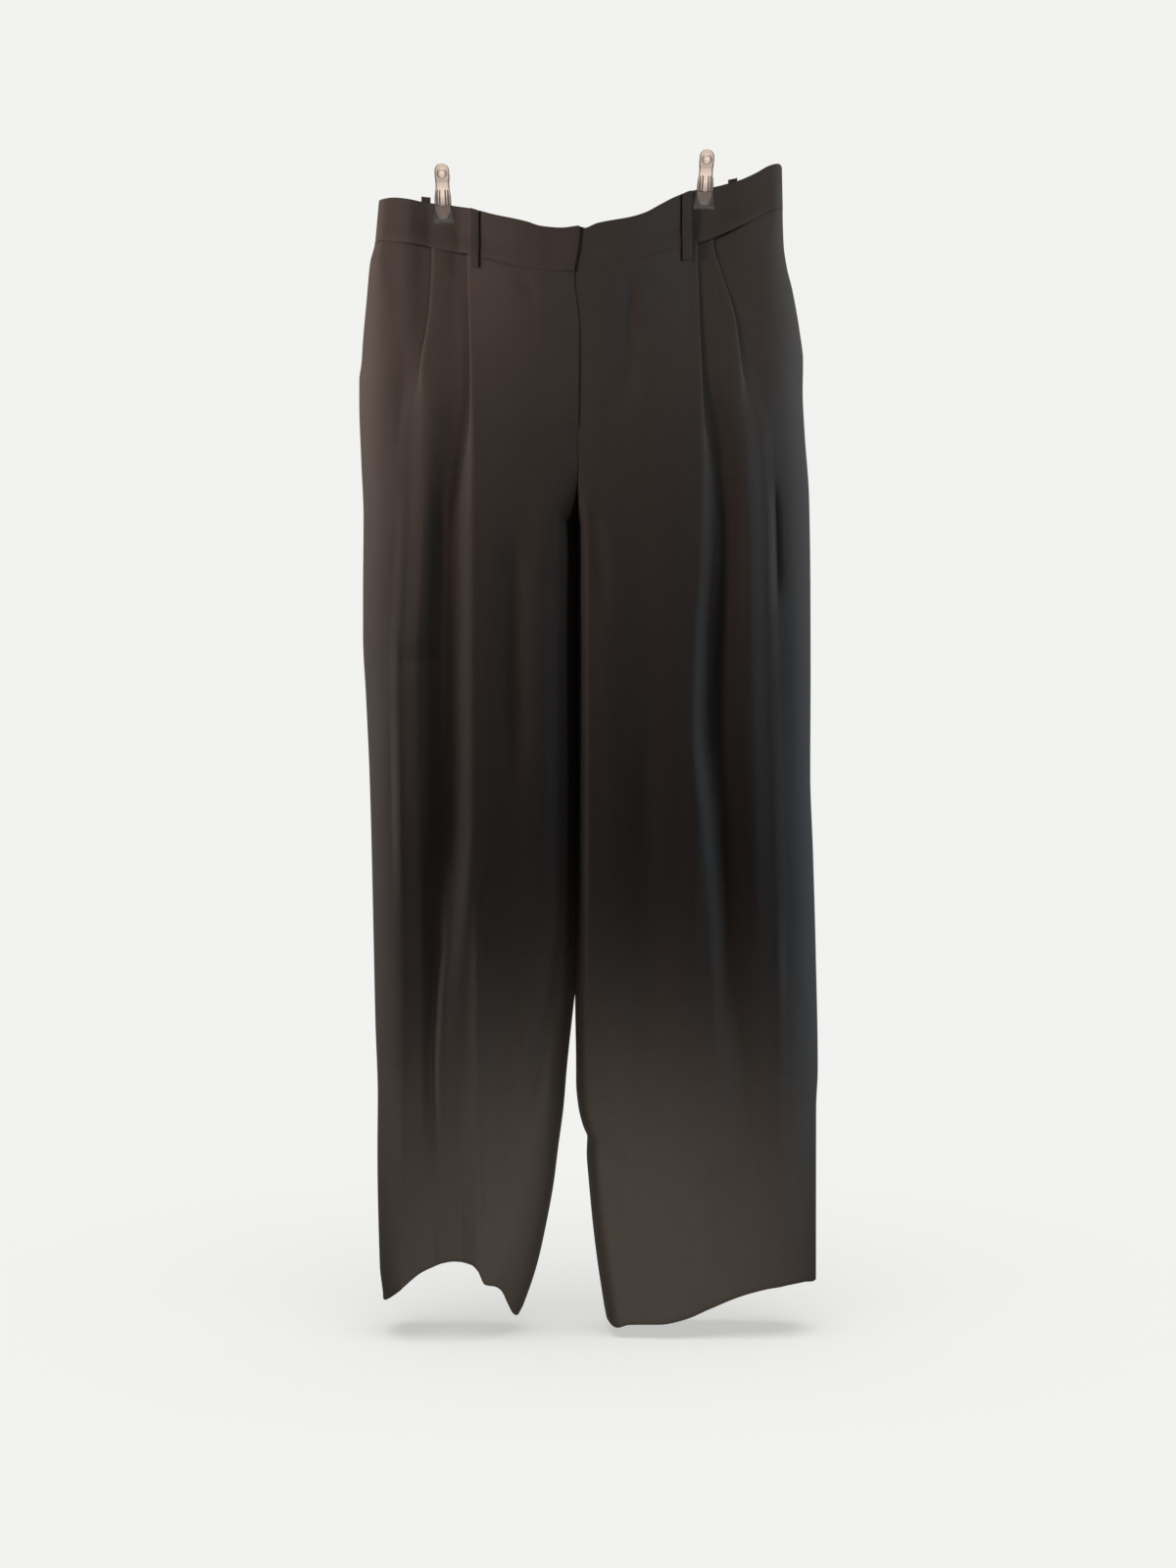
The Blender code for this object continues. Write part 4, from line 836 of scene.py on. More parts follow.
def warm_plating(clips):
    """Bright warm plating on stamped steel, a little dulled and scuffed."""
    finish = bpy.data.materials.new("warm_plating")
    nodes = Nodes(finish, Metallic=1.0, Coat_Weight=0.25, Coat_Roughness=0.08)
    place = nodes.place()
    haze = nodes.noise(place, 420.0, 4.0)
    scuff = nodes.stretched(place, 2600.0, 2600.0, 2.0)
    nodes.feed("Base Color", nodes.mixed(haze, colour(clips.plating), colour(clips.plating_dull)))
    nodes.feed("Roughness", 0.14 + haze * 0.08 + scuff * 0.05)
    nodes.feed("Normal", nodes.bump(haze, 0.12, 0.0002))
    return nodes.owner


def spring_steel_wire(clips):
    nodes = Nodes(bpy.data.materials.new("spring_steel_wire"), Metallic=1.0)
    drawn = nodes.stretched(nodes.place(), 300.0, 4000.0)
    nodes.feed("Base Color", nodes.mixed(drawn, colour(clips.spring), colour(clips.spring_dark)))
    nodes.feed("Roughness", 0.28 + drawn * 0.2)
    return nodes.owner


def smoky_vinyl_sleeve(clips):
    """Clear smoky vinyl, soft and glossy, with faint moulding waves."""
    nodes = Nodes(bpy.data.materials.new("smoky_vinyl_sleeve"), Transmission_Weight=0.94, IOR=1.46)
    wave = nodes.noise(nodes.place(), 260.0, 2.0)
    nodes.feed("Base Color", nodes.mixed(wave, colour(clips.vinyl), colour(clips.vinyl_dark)))
    nodes.feed("Roughness", 0.06 + wave * 0.1)
    nodes.feed("Normal", nodes.bump(wave, 0.2, 0.0004))
    return nodes.owner


def size_setting(name, description, default, low, high):
    return bpy.props.FloatProperty(
        name=name, description=description, default=default, min=low, max=high, unit="LENGTH"
    )


def amount_setting(name, description, default, high, subtype="NONE"):
    return bpy.props.FloatProperty(
        name=name, description=description, default=default, min=0.0, max=high, subtype=subtype
    )


def colour_setting(name, description, default):
    return bpy.props.FloatVectorProperty(
        name=name, description=description, default=default, min=0.0, max=1.0, subtype="COLOR"
    )


class ClothSettings(bpy.types.PropertyGroup):
    thickness: size_setting("Cloth thickness", "Thickness of one layer of suiting", 0.0009, 0.0004, 0.0012)
    band: size_setting(
        "Waistband thickness",
        "Thickness of the waistband's two layers and their interfacing",
        0.0015, 0.001, 0.0022,
    )
    yarn: size_setting(
        "Yarn spacing", "Distance from one yarn of the weave to the next", 0.00062, 0.0003, 0.002
    )
    dark_yarn: colour_setting("Dark yarn", "Colour of the weave's darker yarn", (0.020, 0.0175, 0.0165))
    light_yarn: colour_setting("Light yarn", "Colour of the weave's lighter yarn", (0.040, 0.0355, 0.0330))
    faded: colour_setting(
        "Faded cloth", "Colour that the cloth drifts to in soft patches", (0.036, 0.029, 0.030)
    )
    sheen: amount_setting("Sheen", "How much the nap lights up at a low angle", 0.04, 1.0, "FACTOR")
    sheen_colour: colour_setting("Sheen colour", "Colour of the nap at a low angle", (0.42, 0.38, 0.36))


class ClipSettings(bpy.types.PropertyGroup):
    steel: size_setting("Plate thickness", "Thickness of the clips' stamped steel", 0.00081, 0.0005, 0.001)
    wire: size_setting("Spring wire", "Diameter of the spring's wire", 0.0009, 0.0005, 0.001)
    plating: colour_setting("Plating", "Colour of the plating where it is bright", (0.93, 0.78, 0.67))
    plating_dull: colour_setting(
        "Dulled plating", "Colour of the plating where it has dulled", (0.80, 0.61, 0.50)
    )
    spring: colour_setting("Spring", "Colour of the spring's wire", (0.46, 0.42, 0.39))
    spring_dark: colour_setting("Spring, dark", "Colour of the wire in its drawing marks", (0.22, 0.19, 0.18))
    vinyl: colour_setting("Sleeve", "Tint of the soft vinyl sleeves", (0.56, 0.52, 0.51))
    vinyl_dark: colour_setting(
        "Sleeve, dark", "Tint of the sleeves where they are thicker", (0.40, 0.37, 0.36)
    )


class StageSettings(bpy.types.PropertyGroup):
    surround: colour_setting("Surround", "Colour of the pale studio all round", (0.888, 0.888, 0.871))
    fill: colour_setting("Fill", "Soft light that reaches the cloth from all round", (0.06, 0.056, 0.053))
    floor_drop: size_setting("Floor drop", "How far the floor lies under the lowest hem", 0.01, 0.0, 1.0)
    floor_glow: amount_setting(
        "Floor glow", "Share of the floor's brightness that no shadow takes away", 0.6, 1.0, "FACTOR"
    )
    floor_light: amount_setting(
        "Floor light", "Strength of the soft light on the floor, from above and the viewer's side", 3.0, 40.0
    )
    floor_spread: amount_setting("Floor light spread", "Width of the floor's light, in degrees", 60.0, 170.0)
    right: amount_setting("Right light", "Strength of the wide light from the viewer's right", 1.0, 40.0)
    back: amount_setting("Back light", "Strength of the wide light from behind", 2.3, 40.0)
    upper_left: amount_setting(
        "Upper left panel", "Power of the light beside the hip on the viewer's left", 5.0, 200.0, "POWER"
    )
    upper_right: amount_setting(
        "Upper right panel", "Power of the light beside the hip on the viewer's right", 2.7, 200.0, "POWER"
    )
    tall_left: amount_setting(
        "Tall left panel", "Power of the light along the leg on the viewer's left", 2.7, 200.0, "POWER"
    )
    tall_right: amount_setting(
        "Tall right panel", "Power of the light along the leg on the viewer's right", 2.7, 200.0, "POWER"
    )
    hem: amount_setting("Hem spot", "Power of the soft spot on the hems", 44.0, 1000.0, "POWER")
    distance: size_setting(
        "Camera distance", "How far the camera stands in front of the garment's middle", 2.2, 0.5, 10.0
    )


SETTINGS = {"trousers_cloth": ClothSettings, "trousers_clips": ClipSettings, "trousers_stage": StageSettings}


def made_of(maker, settings):
    """A maker's material, made the first time that a piece asks for it."""
    return bpy.data.materials.get(maker.__name__) or maker(settings)


def settle(piece, node):
    """Makes a finished piece stand for a node of the frame."""
    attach(piece, "root")
    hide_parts(node)


def new_object(name, bm, finish, space=None):
    """A bmesh in millimetres, in the garment's frame or in space, as an object at the part's origin."""
    bmesh.ops.transform(bm, matrix=space or Matrix(), verts=bm.verts)
    bmesh.ops.translate(bm, verts=bm.verts, vec=GARMENT)
    bmesh.ops.scale(bm, verts=bm.verts, vec=(MM, MM, MM))
    mesh = bpy.data.meshes.new(name)
    bm.to_mesh(mesh)
    bm.free()
    mesh.materials.append(finish)
    mesh.shade_smooth()
    obj = bpy.data.objects.new(name, mesh)
    bpy.context.scene.collection.objects.link(obj)
    return obj


def grid(rows):
    """A bmesh grid on rows of points, with the cloth's own coordinates, in metres, in the map "cloth"."""
    count = len(rows[0])
    bm = bmesh.new()
    bmesh.ops.create_grid(bm, x_segments=count - 1, y_segments=len(rows) - 1, size=1)
    bm.verts.ensure_lookup_table()
    for n, vert in enumerate(bm.verts):
        vert.co = rows[n // count][n % count]
    cloth = bm.loops.layers.uv.new("cloth")
    places = cloth_places(rows)
    for face in bm.faces:
        for loop in face.loops:
            n = loop.vert.index
            loop[cloth].uv = places[n // count][n % count]
    return bm


def cloth_places(rows):
    """Across and down the cloth for each point, as it lay when it was cut."""
    places, down = [], [0.0] * len(rows[0])
    middle = len(rows[0]) // 2
    for k, row in enumerate(rows):
        if k:
            down = [d + (Vector(p) - Vector(q)).length * MM for d, p, q in zip(down, row, rows[k - 1])]
        across = [0.0]
        for p, q in zip(row, row[1:]):
            across.append(across[-1] + (Vector(q) - Vector(p)).length * MM)
        places.append([(a - across[middle], d) for a, d in zip(across, down)])
    return places


def face_out(bm, forward):
    """Turns a sheet's faces so that most look to the back, or to the front where forward is -1."""
    bm.normal_update()
    if sum(face.normal.y * forward for face in bm.faces) < 0:
        bmesh.ops.reverse_faces(bm, faces=bm.faces)


def thicken(obj, thickness):
    wall = obj.modifiers.new("thickness", "SOLIDIFY")
    wall.thickness = thickness
    wall.offset = 0.0
    wall.use_even_offset = False


def sheet(name, node, rows, forward, thickness=None):
    """A sheet of suiting on rows of points, which stands for a node."""
    cloth = bpy.context.scene.trousers_cloth
    bm = grid(rows)
    face_out(bm, forward)
    obj = new_object(name, bm, made_of(dark_suiting, cloth))
    thicken(obj, thickness or cloth.thickness)
    settle(obj, node)
    return obj


class TROUSERS_OT_legs(bpy.types.Operator):
    """Lays the four leg panels, with their pleats, creases, darts and turned-up hems"""

    bl_idname = "trousers.legs"
    bl_label = "Leg panels"

    def execute(self, context):
        for leg in LEGS:
            self.lay(leg, "front", front_row, f"waistband_front_{leg.name}_cloth")
            self.lay(leg, "back", back_row, "waistband_back_cloth")
        return {"FINISHED"}

    def lay(self, leg, panel, row_of, band):
        forward = FORWARD[panel]
        rows = [row_of(leg, n / LEG_ROWS) for n in range(LEG_ROWS + 1)]
        rows += hem_rows(lambda share: row_of(leg, share), rows[-1], -leg.side * forward)
        node = f"{panel}_{leg.name}"
        sheet(f"{node}_panel", node, rows, forward)


def band_depth(panel, x, down):
    """How far the waistband stands from the middle plane, down of the way from its top edge to the seam."""
    top, grip, seam = (depth(x) for depth in WAIST_DEPTHS[panel])
    return Curve([(0.0, top), (GRIP_ROW, grip), (1.0, seam)])(down)


def band_point(panel, x, down, side_x, proud=0.0):
    """A point of the waistband's middle line, which turns in to the side edge at side_x."""
    depth = band_depth(panel, x, down) + (proud + band_wave(x, down))
    edge_share = quarter(abs(x - side_x) / SIDE_FOLD_RADIUS)
    y = FORWARD[panel] * max(SEAM_GAP / 2 * (1 - edge_share), depth * edge_share)
    return x, y, mix(BAND_TOP(x), WAIST_SEAM(x) - BAND_LAPS, down)


def band_side(side, down):
    """x of the middle line's side edge at this share of the waistband's height."""
    return mix(*BAND_SIDES[side], down) - side * BAND / 2


def fly_rise(edge, x):
    """How far the fly's overlap lifts the right half where the left half runs on beneath it."""
    return FLY_STEP * ease(1 - (edge - x) / FLY_STEP_WIDTH)


def band_wave(x, down):
    """The band's slight waves, which die out at the clips and the top edge."""
    off = min(abs(x - clip[1]) for clip in CLIPS)
    wave = noise.noise((x / WAVE_ACROSS, down * WAVE_DOWN, 5.0))
    return WAVE * ease((off - WAVE_STARTS) / WAVE_OVER) * wave * mix(WAVE_TOP, 1.0, down)


def even(start, end):
    """Places about BAND_PITCH apart from start to end, counting both."""
    count = max(2, round(abs(end - start) / BAND_PITCH))
    return [mix(start, end, n / count) for n in range(count + 1)]


class TROUSERS_OT_waistband(bpy.types.Operator):
    """Lays the waistband's two front halves and its back, pinched flat between the clips' jaws"""

    bl_idname = "trousers.waistband"
    bl_label = "Waistband"

    def execute(self, context):
        self.lay("waistband_front_right", -1, self.front_right)
        self.lay("waistband_front_left", -1, self.front_left)
        self.lay("waistband_back", 1, self.back)
        return {"FINISHED"}

    def lay(self, node, forward, row_of):
        """Lays one piece of the waistband on the rows of row_of, which takes a share of the height."""
        rows = [row_of(n / BAND_STEPS) for n in range(BAND_STEPS + 1)]
        band = bpy.context.scene.trousers_cloth.band
        soften(sheet(f"{node}_cloth", node, rows, forward, band), 0.0006)

    def front_right(self, down):
        start, edge = band_side(-1, down), FLY_EDGE(down)
        places = rounded(start, 1, SIDE_FOLD_RADIUS, BAND_FOLD_STEPS)
        places += even(places[-1], edge - SEAM_GAP / 2)[1:]
        return [band_point("front", x, down, start, fly_rise(edge, x)) for x in places]

    def front_left(self, down):
        start, edge, below = band_side(1, down), FLY_EDGE(down), BAND + SEAM_GAP
        places = rounded(start, -1, SIDE_FOLD_RADIUS, BAND_FOLD_STEPS)
        places += even(places[-1], edge + FLY_STEP_FROM)[1:]
        lap = spread(edge, edge - UNDERLAP, UNDERLAP_STEPS) + [edge - UNDERLAP]
        row = [band_point("front", x, down, start) for x in places]
        row.append(band_point("front", edge + FLY_STEP_TO, down, start, FLY_STEP - below))
        return row + [band_point("front", x, down, start, fly_rise(edge, x) - below) for x in lap]

    def back(self, down):
        right_x, left_x = band_side(-1, down), band_side(1, down)
        right = rounded(right_x, 1, SIDE_FOLD_RADIUS, BAND_FOLD_STEPS)
        left = rounded(left_x, -1, SIDE_FOLD_RADIUS, BAND_FOLD_STEPS)[::-1]
        places = right + even(right[-1], left[0])[1:-1] + left
        return [band_point("back", x, down, right_x if x < 0 else left_x) for x in places]


def soften(obj, width):
    """Rounds the edges that a wall's thickness leaves."""
    bevel = obj.modifiers.new("soft_edge", "BEVEL")
    bevel.width = width
    bevel.segments = 2
    bevel.limit_method = "ANGLE"
    bevel.angle_limit = math.radians(50)


class TROUSERS_OT_fly(bpy.types.Operator):
    """Lays the fly's shield behind the front edge"""

    bl_idname = "trousers.fly"
    bl_label = "Fly shield"

    def execute(self, context):
        rows = []
        for n in range(SHIELD_ROWS + 1):
            share = mix(0.0, SHIELD_BOTTOM, n / SHIELD_ROWS)
            edge = LEFT_LEG.edges(share)[1]
            z = LEFT_LEG.height(share, 1.0) - SEAM_GAP
            row = []
            for x in even(edge + SHIELD_OVER, edge - SHIELD_WIDTH):
                host = LEFT_LEG if x > edge else RIGHT_LEG
                row.append((x, surface_y(host, "front", share, x, CLOTH + SEAM_GAP), z))
            rows.append(row)
        sheet("fly_shield_cloth", "fly_shield", rows, -1)
        return {"FINISHED"}


class TROUSERS_OT_pockets(bpy.types.Operator):
    """Lays the strips of pocketing that show in the side seams' pocket mouths"""

    bl_idname = "trousers.pockets"
    bl_label = "Side pockets"

    def execute(self, context):
        for leg in LEGS:
            rows = [self.row(leg, mix(*POCKET_MOUTH, n / POCKET_ROWS)) for n in range(POCKET_ROWS + 1)]
            node = f"pocket_{leg.name}"
            sheet(f"{node}_cloth", node, rows, -1)
        return {"FINISHED"}

    def row(self, leg, share):
        """A row from a little way round the back to under the front."""
        front = front_row(leg, share)[: 2 * SIDE_STEPS + 1 : 2]
        edge = (front[0][0], leg.middle(front[0][2]), front[0][2])
        behind = back_row(leg, share)[POCKET_BEHIND]
        start = tuple(mix(p, q, POCKET_ROUND) for p, q in zip(edge, behind))
        return set_off([start, edge, *front[POCKET_UNDER:]], -(CLOTH + 2 * SEAM_GAP), leg.side)


class TROUSERS_OT_belt_loops(bpy.types.Operator):
    """Sews the five belt loops over the waistband"""

    bl_idname = "trousers.belt_loops"
    bl_label = "Belt loops"

    def execute(self, context):
        for loop in LOOPS:
            self.lay(*loop)
        return {"FINISHED"}

    def lay(self, name, x, forward, above):
        panel = "front" if forward < 0 else "back"
        leg = LEFT_LEG if x > 0 else RIGHT_LEG
        half = LOOP_WIDTH / 2
        steps = range(-LOOP_STEPS, LOOP_STEPS + 1)
        under = [x + half * step / LOOP_STEPS for step in steps]
        line = []
        for n, down in enumerate(LOOP_STATIONS):
            if down > 1.0:
                share = (down - 1.0) * BAND_HEIGHT / PANEL_LENGTH
                deepest = max(abs(surface_y(leg, panel, share, at)) for at in under)
            else:
                deepest = max(band_depth(panel, at, down) for at in under)
            stands = LOOP_STANDS_OFF * math.sin(math.pi * n / (len(LOOP_STATIONS) - 1))
            y = forward * (deepest + BAND / 2 + LOOP_CLEAR + LOOP_CLOTH / 2 + stands)
            line.append((down, y, above if n == 0 else 0.0))
        depth_at, above_at = columns(line, 1, 2)
        rows = []
        for n in range(LOOP_ROWS + 1):
            down = mix(0.0, LOOP_STATIONS[-1], n / LOOP_ROWS)
            row = []
            for step, at in zip(steps, under):
                curl = -LOOP_CURL * forward * abs(step / LOOP_STEPS) ** 4
                z = mix(BAND_TOP(at), WAIST_SEAM(at), down) + above_at(down)
                row.append((at, depth_at(down) + curl, z))
            rows.append(row)
        node = f"belt_loop_{name}"
        band = f"waistband_front_{leg.name}" if forward < 0 else "waistband_back"
        thickness = LOOP_CLOTH * LOOP_SHARE * MM
        soften(sheet(f"{node}_strip", node, rows, forward, thickness), 0.0005)


def clip_space(lean, x, z):
    """From a clip's own frame to the garment's."""
    turn = Matrix.Rotation(math.radians(-lean), 4, "Y")
    return Matrix.Translation((x, 0, z)) @ turn


def plate_line(row):
    """Half widths and heights across one row of a plate, from its middle to its turned-in side."""
    _, half, _, flange, rib = row
    far, near = (share * 2 * half for share in CLIP_RIBS)
    middle, width = (far + near) / 2, (far - near) / 2
    points = []
    for n in range(PLATE_STEPS + 1):
        x = half * PLATE_FLAT * n / PLATE_STEPS
        points.append((x, RIB_RISES * rib * math.exp(-(((x - middle) / width) ** 4) * RIB_STEEP)))
    corner = min(0.8, 0.35 * flange + 0.2)
    for n in range(1, CORNER_STEPS + 1):
        angle = math.pi / 2 * n / CORNER_STEPS
        points.append((half - corner + corner * math.sin(angle), -corner * (1 - math.cos(angle))))
    return [*points, (half, -corner - flange * 0.5), (half, -corner - flange)]


def plate_rows():
    """A plate's rows, closely spaced, with its domed top, its turned-in sides and its two ribs."""
    top, bottom = CLIP_PLATE[0][0], CLIP_PLATE[-1][0]
    half, distance, flange, rib = columns(CLIP_PLATE, 1, 2, 3, 4)
    rows = []
    for n in range(PLATE_ROWS + 1):
        z = mix(top, bottom, n / PLATE_ROWS)
        width = half(z)
        if z > DOME_Z:
            width = max(DOME_LEAST, math.sqrt(max(0.0, DOME_RADIUS**2 - (z - DOME_Z) ** 2)))
        rows.append((z, width, distance(z), flange(z) * min(1.0, width / 5), rib(z)))
    return rows


class TROUSERS_OT_clips(bpy.types.Operator):
    """Builds the two hanger clips: plates with their domes, ribs and holes, sleeves, springs and pins"""

    bl_idname = "trousers.clips"
    bl_label = "Hanger clips"

    def execute(self, context):
        for name, x, z, lean in CLIPS:
            space = clip_space(lean, x, z)
            for face, forward in (("front", -1), ("back", 1)):
                self.plate(f"clip_{name}_{face}", forward, space)
                self.sleeve(f"clip_{name}_{face}", forward, space)
            self.spring(f"clip_{name}", space)
            self.pin(f"clip_{name}", space)
        return {"FINISHED"}

    def plate(self, name, forward, space):
        clips = bpy.context.scene.trousers_clips
        rows = []
        for row in plate_rows():
            z, _, distance, _, _ = row
            half = plate_line(row)
            line = []
            for x, up in [(-x, up) for x, up in reversed(half[1:])] + half:
                ring = math.hypot(x, z) - CLIP_HOLE_RADIUS - BOSS_OFF
                boss = BOSS_RISES * bell(ring / BOSS_WIDTH)
                falls = -PLATE_FALLS * (x / PLATE_HALF_WIDTH) ** 2
                line.append(Vector((x, forward * (distance + up + boss + falls), z)))
            rows.append(line)
        bm = grid(rows)
        face_out(bm, forward)
        obj = new_object(f"{name}_steel", bm, made_of(warm_plating, clips), space)
        thicken(obj, clips.steel)
        hole = rod(CLIP_HOLE_RADIUS, 40, 48, Matrix.Rotation(math.pi / 2, 4, "X"))
        bore(obj, hole, space)
        soften(obj, 0.00012)
        settle(obj, f"{name}_plate")

    def sleeve(self, name, forward, space):
        clips = bpy.context.scene.trousers_clips
        rings = []
        half, face = columns(GRIP, 1, 2)
        top, bottom = GRIP[0][0], GRIP[-1][0]
        for n in range(SLEEVE_ROWS + 1):
            z = mix(top, bottom, n / SLEEVE_ROWS)
            ring = sleeve_ring(half(z), GRIP_FACE, face(z))
            rings.append([(x, forward * y, z) for x, y in [*ring, ring[0]]])
        bm = grid(rings)
        bmesh.ops.remove_doubles(bm, verts=bm.verts, dist=0.001)
        close_ends(bm)
        obj = new_object(f"{name}_sleeve", bm, made_of(smoky_vinyl_sleeve, clips), space)
        soften(obj, 0.0003)
        apply_modifiers(obj)
        slot = bmesh.new()
        bottom = CLIP_PLATE[-1][0] - SEAM_GAP
        width = 2 * max(row[1] for row in CLIP_PLATE) + 2 * PLATE_HALF + 2 * SEAM_GAP
        size = Matrix.Diagonal((width, GRIP_SLOT[1] - GRIP_SLOT[0], SLOT_LENGTH, 1))
        centre = Vector((0, forward * sum(GRIP_SLOT) / 2, bottom + SLOT_LENGTH / 2))
        bmesh.ops.create_cube(slot, size=1, matrix=Matrix.Translation(centre) @ size)
        bore(obj, slot, space)
        settle(obj, f"{name}_grip")

    def spring(self, name, space):
        clips = bpy.context.scene.trousers_clips
        outer, inner = SPRING_RADII
        half = inside_plates() - SPRING_ROOM
        wire = clips.wire / MM
        run = 2 * half - wire
        turns = round(run / (wire * SPRING_PITCH))
        bm = bmesh.new()
        start = Matrix.Translation((-half + wire / 2, 0, SPRING_Z + (outer + inner) / 2))
        turn = start @ Matrix.Rotation(math.pi / 2, 4, "X")
        bmesh.ops.create_circle(bm, segments=WIRE_SIDES, radius=wire / 2, matrix=turn)
        steps = SPRING_STEPS * turns
        bmesh.ops.spin(
            bm,
            geom=[*bm.edges, *bm.verts],
            cent=(0, 0, SPRING_Z),
            axis=(1, 0, 0),
            dvec=(run / steps, 0, 0),
            angle=2 * math.pi * turns,
            steps=steps,
        )
        close_ends(bm)
        obj = new_object(f"{name}_coil", bm, made_of(spring_steel_wire, clips), space)
        settle(obj, f"{name}_spring")

    def pin(self, name, space):
        clips = bpy.context.scene.trousers_clips
        place = Matrix.Translation((0, 0, SPRING_Z)) @ Matrix.Rotation(math.pi / 2, 4, "Y")
        bm = rod(PIN_RADIUS, 2 * inside_plates(), 32, place)
        obj = new_object(f"{name}_axle", bm, made_of(spring_steel_wire, clips), space)
        soften(obj, 0.0003)
        settle(obj, f"{name}_pin")


def rod(radius, length, sides, place):
    bm = bmesh.new()
    bmesh.ops.create_cone(
        bm, cap_ends=True, segments=sides, radius1=radius, radius2=radius, depth=length, matrix=place
    )
    return bm


def close_ends(bm):
    """Fills a tube's open ends and turns its faces outwards."""
    bmesh.ops.holes_fill(bm, edges=[edge for edge in bm.edges if edge.is_boundary], sides=0)
    bmesh.ops.recalc_face_normals(bm, faces=bm.faces)


def inside_plates():
    """Half the room between a clip's turned-in sides at the spring."""
    outer, _ = SPRING_RADII
    beside = [half for z, half, *_ in CLIP_PLATE if abs(z - SPRING_Z) < 2 * outer]
    return min(beside) - PLATE_HALF - SEAM_GAP


def sleeve_ring(half, back, front):
    """A sleeve's section: a rounded bar, flat on the cloth's side."""
    outside = min((front - back) / 2, SLEEVE_ROUNDING)
    ring = []
    for side, y, radius, start in (
        (1, back + SLEEVE_EDGE, SLEEVE_EDGE, -90),
        (1, front - outside, outside, 0),
        (-1, front - outside, outside, 90),
        (-1, back + SLEEVE_EDGE, SLEEVE_EDGE, 180),
    ):
        for n in range(CORNER_STEPS + 1):
            angle = math.radians(start + 90 * n / CORNER_STEPS)
            x = side * (half - radius) + radius * math.cos(angle)
            ring.append((x, y + radius * math.sin(angle)))
    return ring


def apply_modifiers(obj):
    """Puts an object's finished mesh in its place, with its modifiers taken off."""
    depsgraph = bpy.context.evaluated_depsgraph_get()
    mesh = bpy.data.meshes.new_from_object(obj.evaluated_get(depsgraph), depsgraph=depsgraph)
    obj.modifiers.clear()
    old, obj.data = obj.data, mesh
    bpy.data.meshes.remove(old)


def bore(obj, cutter, space):
    """Takes a bmesh, in millimetres in space, out of a piece."""
    bmesh.ops.recalc_face_normals(cutter, faces=cutter.faces)
    tool = new_object(f"{obj.name}_cut", cutter, obj.data.materials[0], space)
    modifier = obj.modifiers.new("cut", "BOOLEAN")
    modifier.operation = "DIFFERENCE"
    modifier.solver = "EXACT"
    modifier.object = tool
    apply_modifiers(obj)
    bpy.data.objects.remove(tool, do_unlink=True)


# The studio's wide lights: name, azimuth, elevation and width in degrees, tint
SUNS = [
    ("right", 95, 10, 40, (1.0, 0.86, 0.55)),
    ("back", 180, 35, 60, (1.0, 0.96, 0.93)),
]
# Its upright panels of light: name, place in metres, azimuth they shine to, in degrees, height, tint
PANELS = [
    ("upper_left", (-0.35, -0.25, -0.02), -60.0, 0.35, (1.0, 0.78, 0.69)),
    ("upper_right", (0.65, -0.25, 0.02), 56.0, 0.3, (1.0, 1.0, 0.95)),
    ("tall_left", (-0.3, -0.06, -0.5), -78.7, 0.9, (1.0, 0.95, 0.91)),
    ("tall_right", (0.6, -0.06, -0.5), 79.4, 0.9, (0.58, 0.80, 1.0)),
]
PANEL_WIDTH = 0.1
# How bright metal mirrors the studio: from which share across or up, to which, and both brightnesses
MIRRORED_ACROSS = 0.2, 0.62, 1.2, 0.2
MIRRORED_UP = -0.7, 0.2, 0.5, 1.0
# The floor's light: its elevation in degrees
FLOOR_LIGHT_UP = 80
# The spot on the hems: where it stands, where it points, its tint, its cone in degrees, its radius
HEM_SPOT, HEM_TARGET, HEM_TINT = (0.15, -0.8, -1.0), (0.15, 0.0, -1.12), (1.0, 0.93, 0.81)
HEM_CONE, HEM_RADIUS = 58, 0.12
CAMERA_LENS, CAMERA_X, CAMERA_Z = 51.56, 0.1426, -0.5957


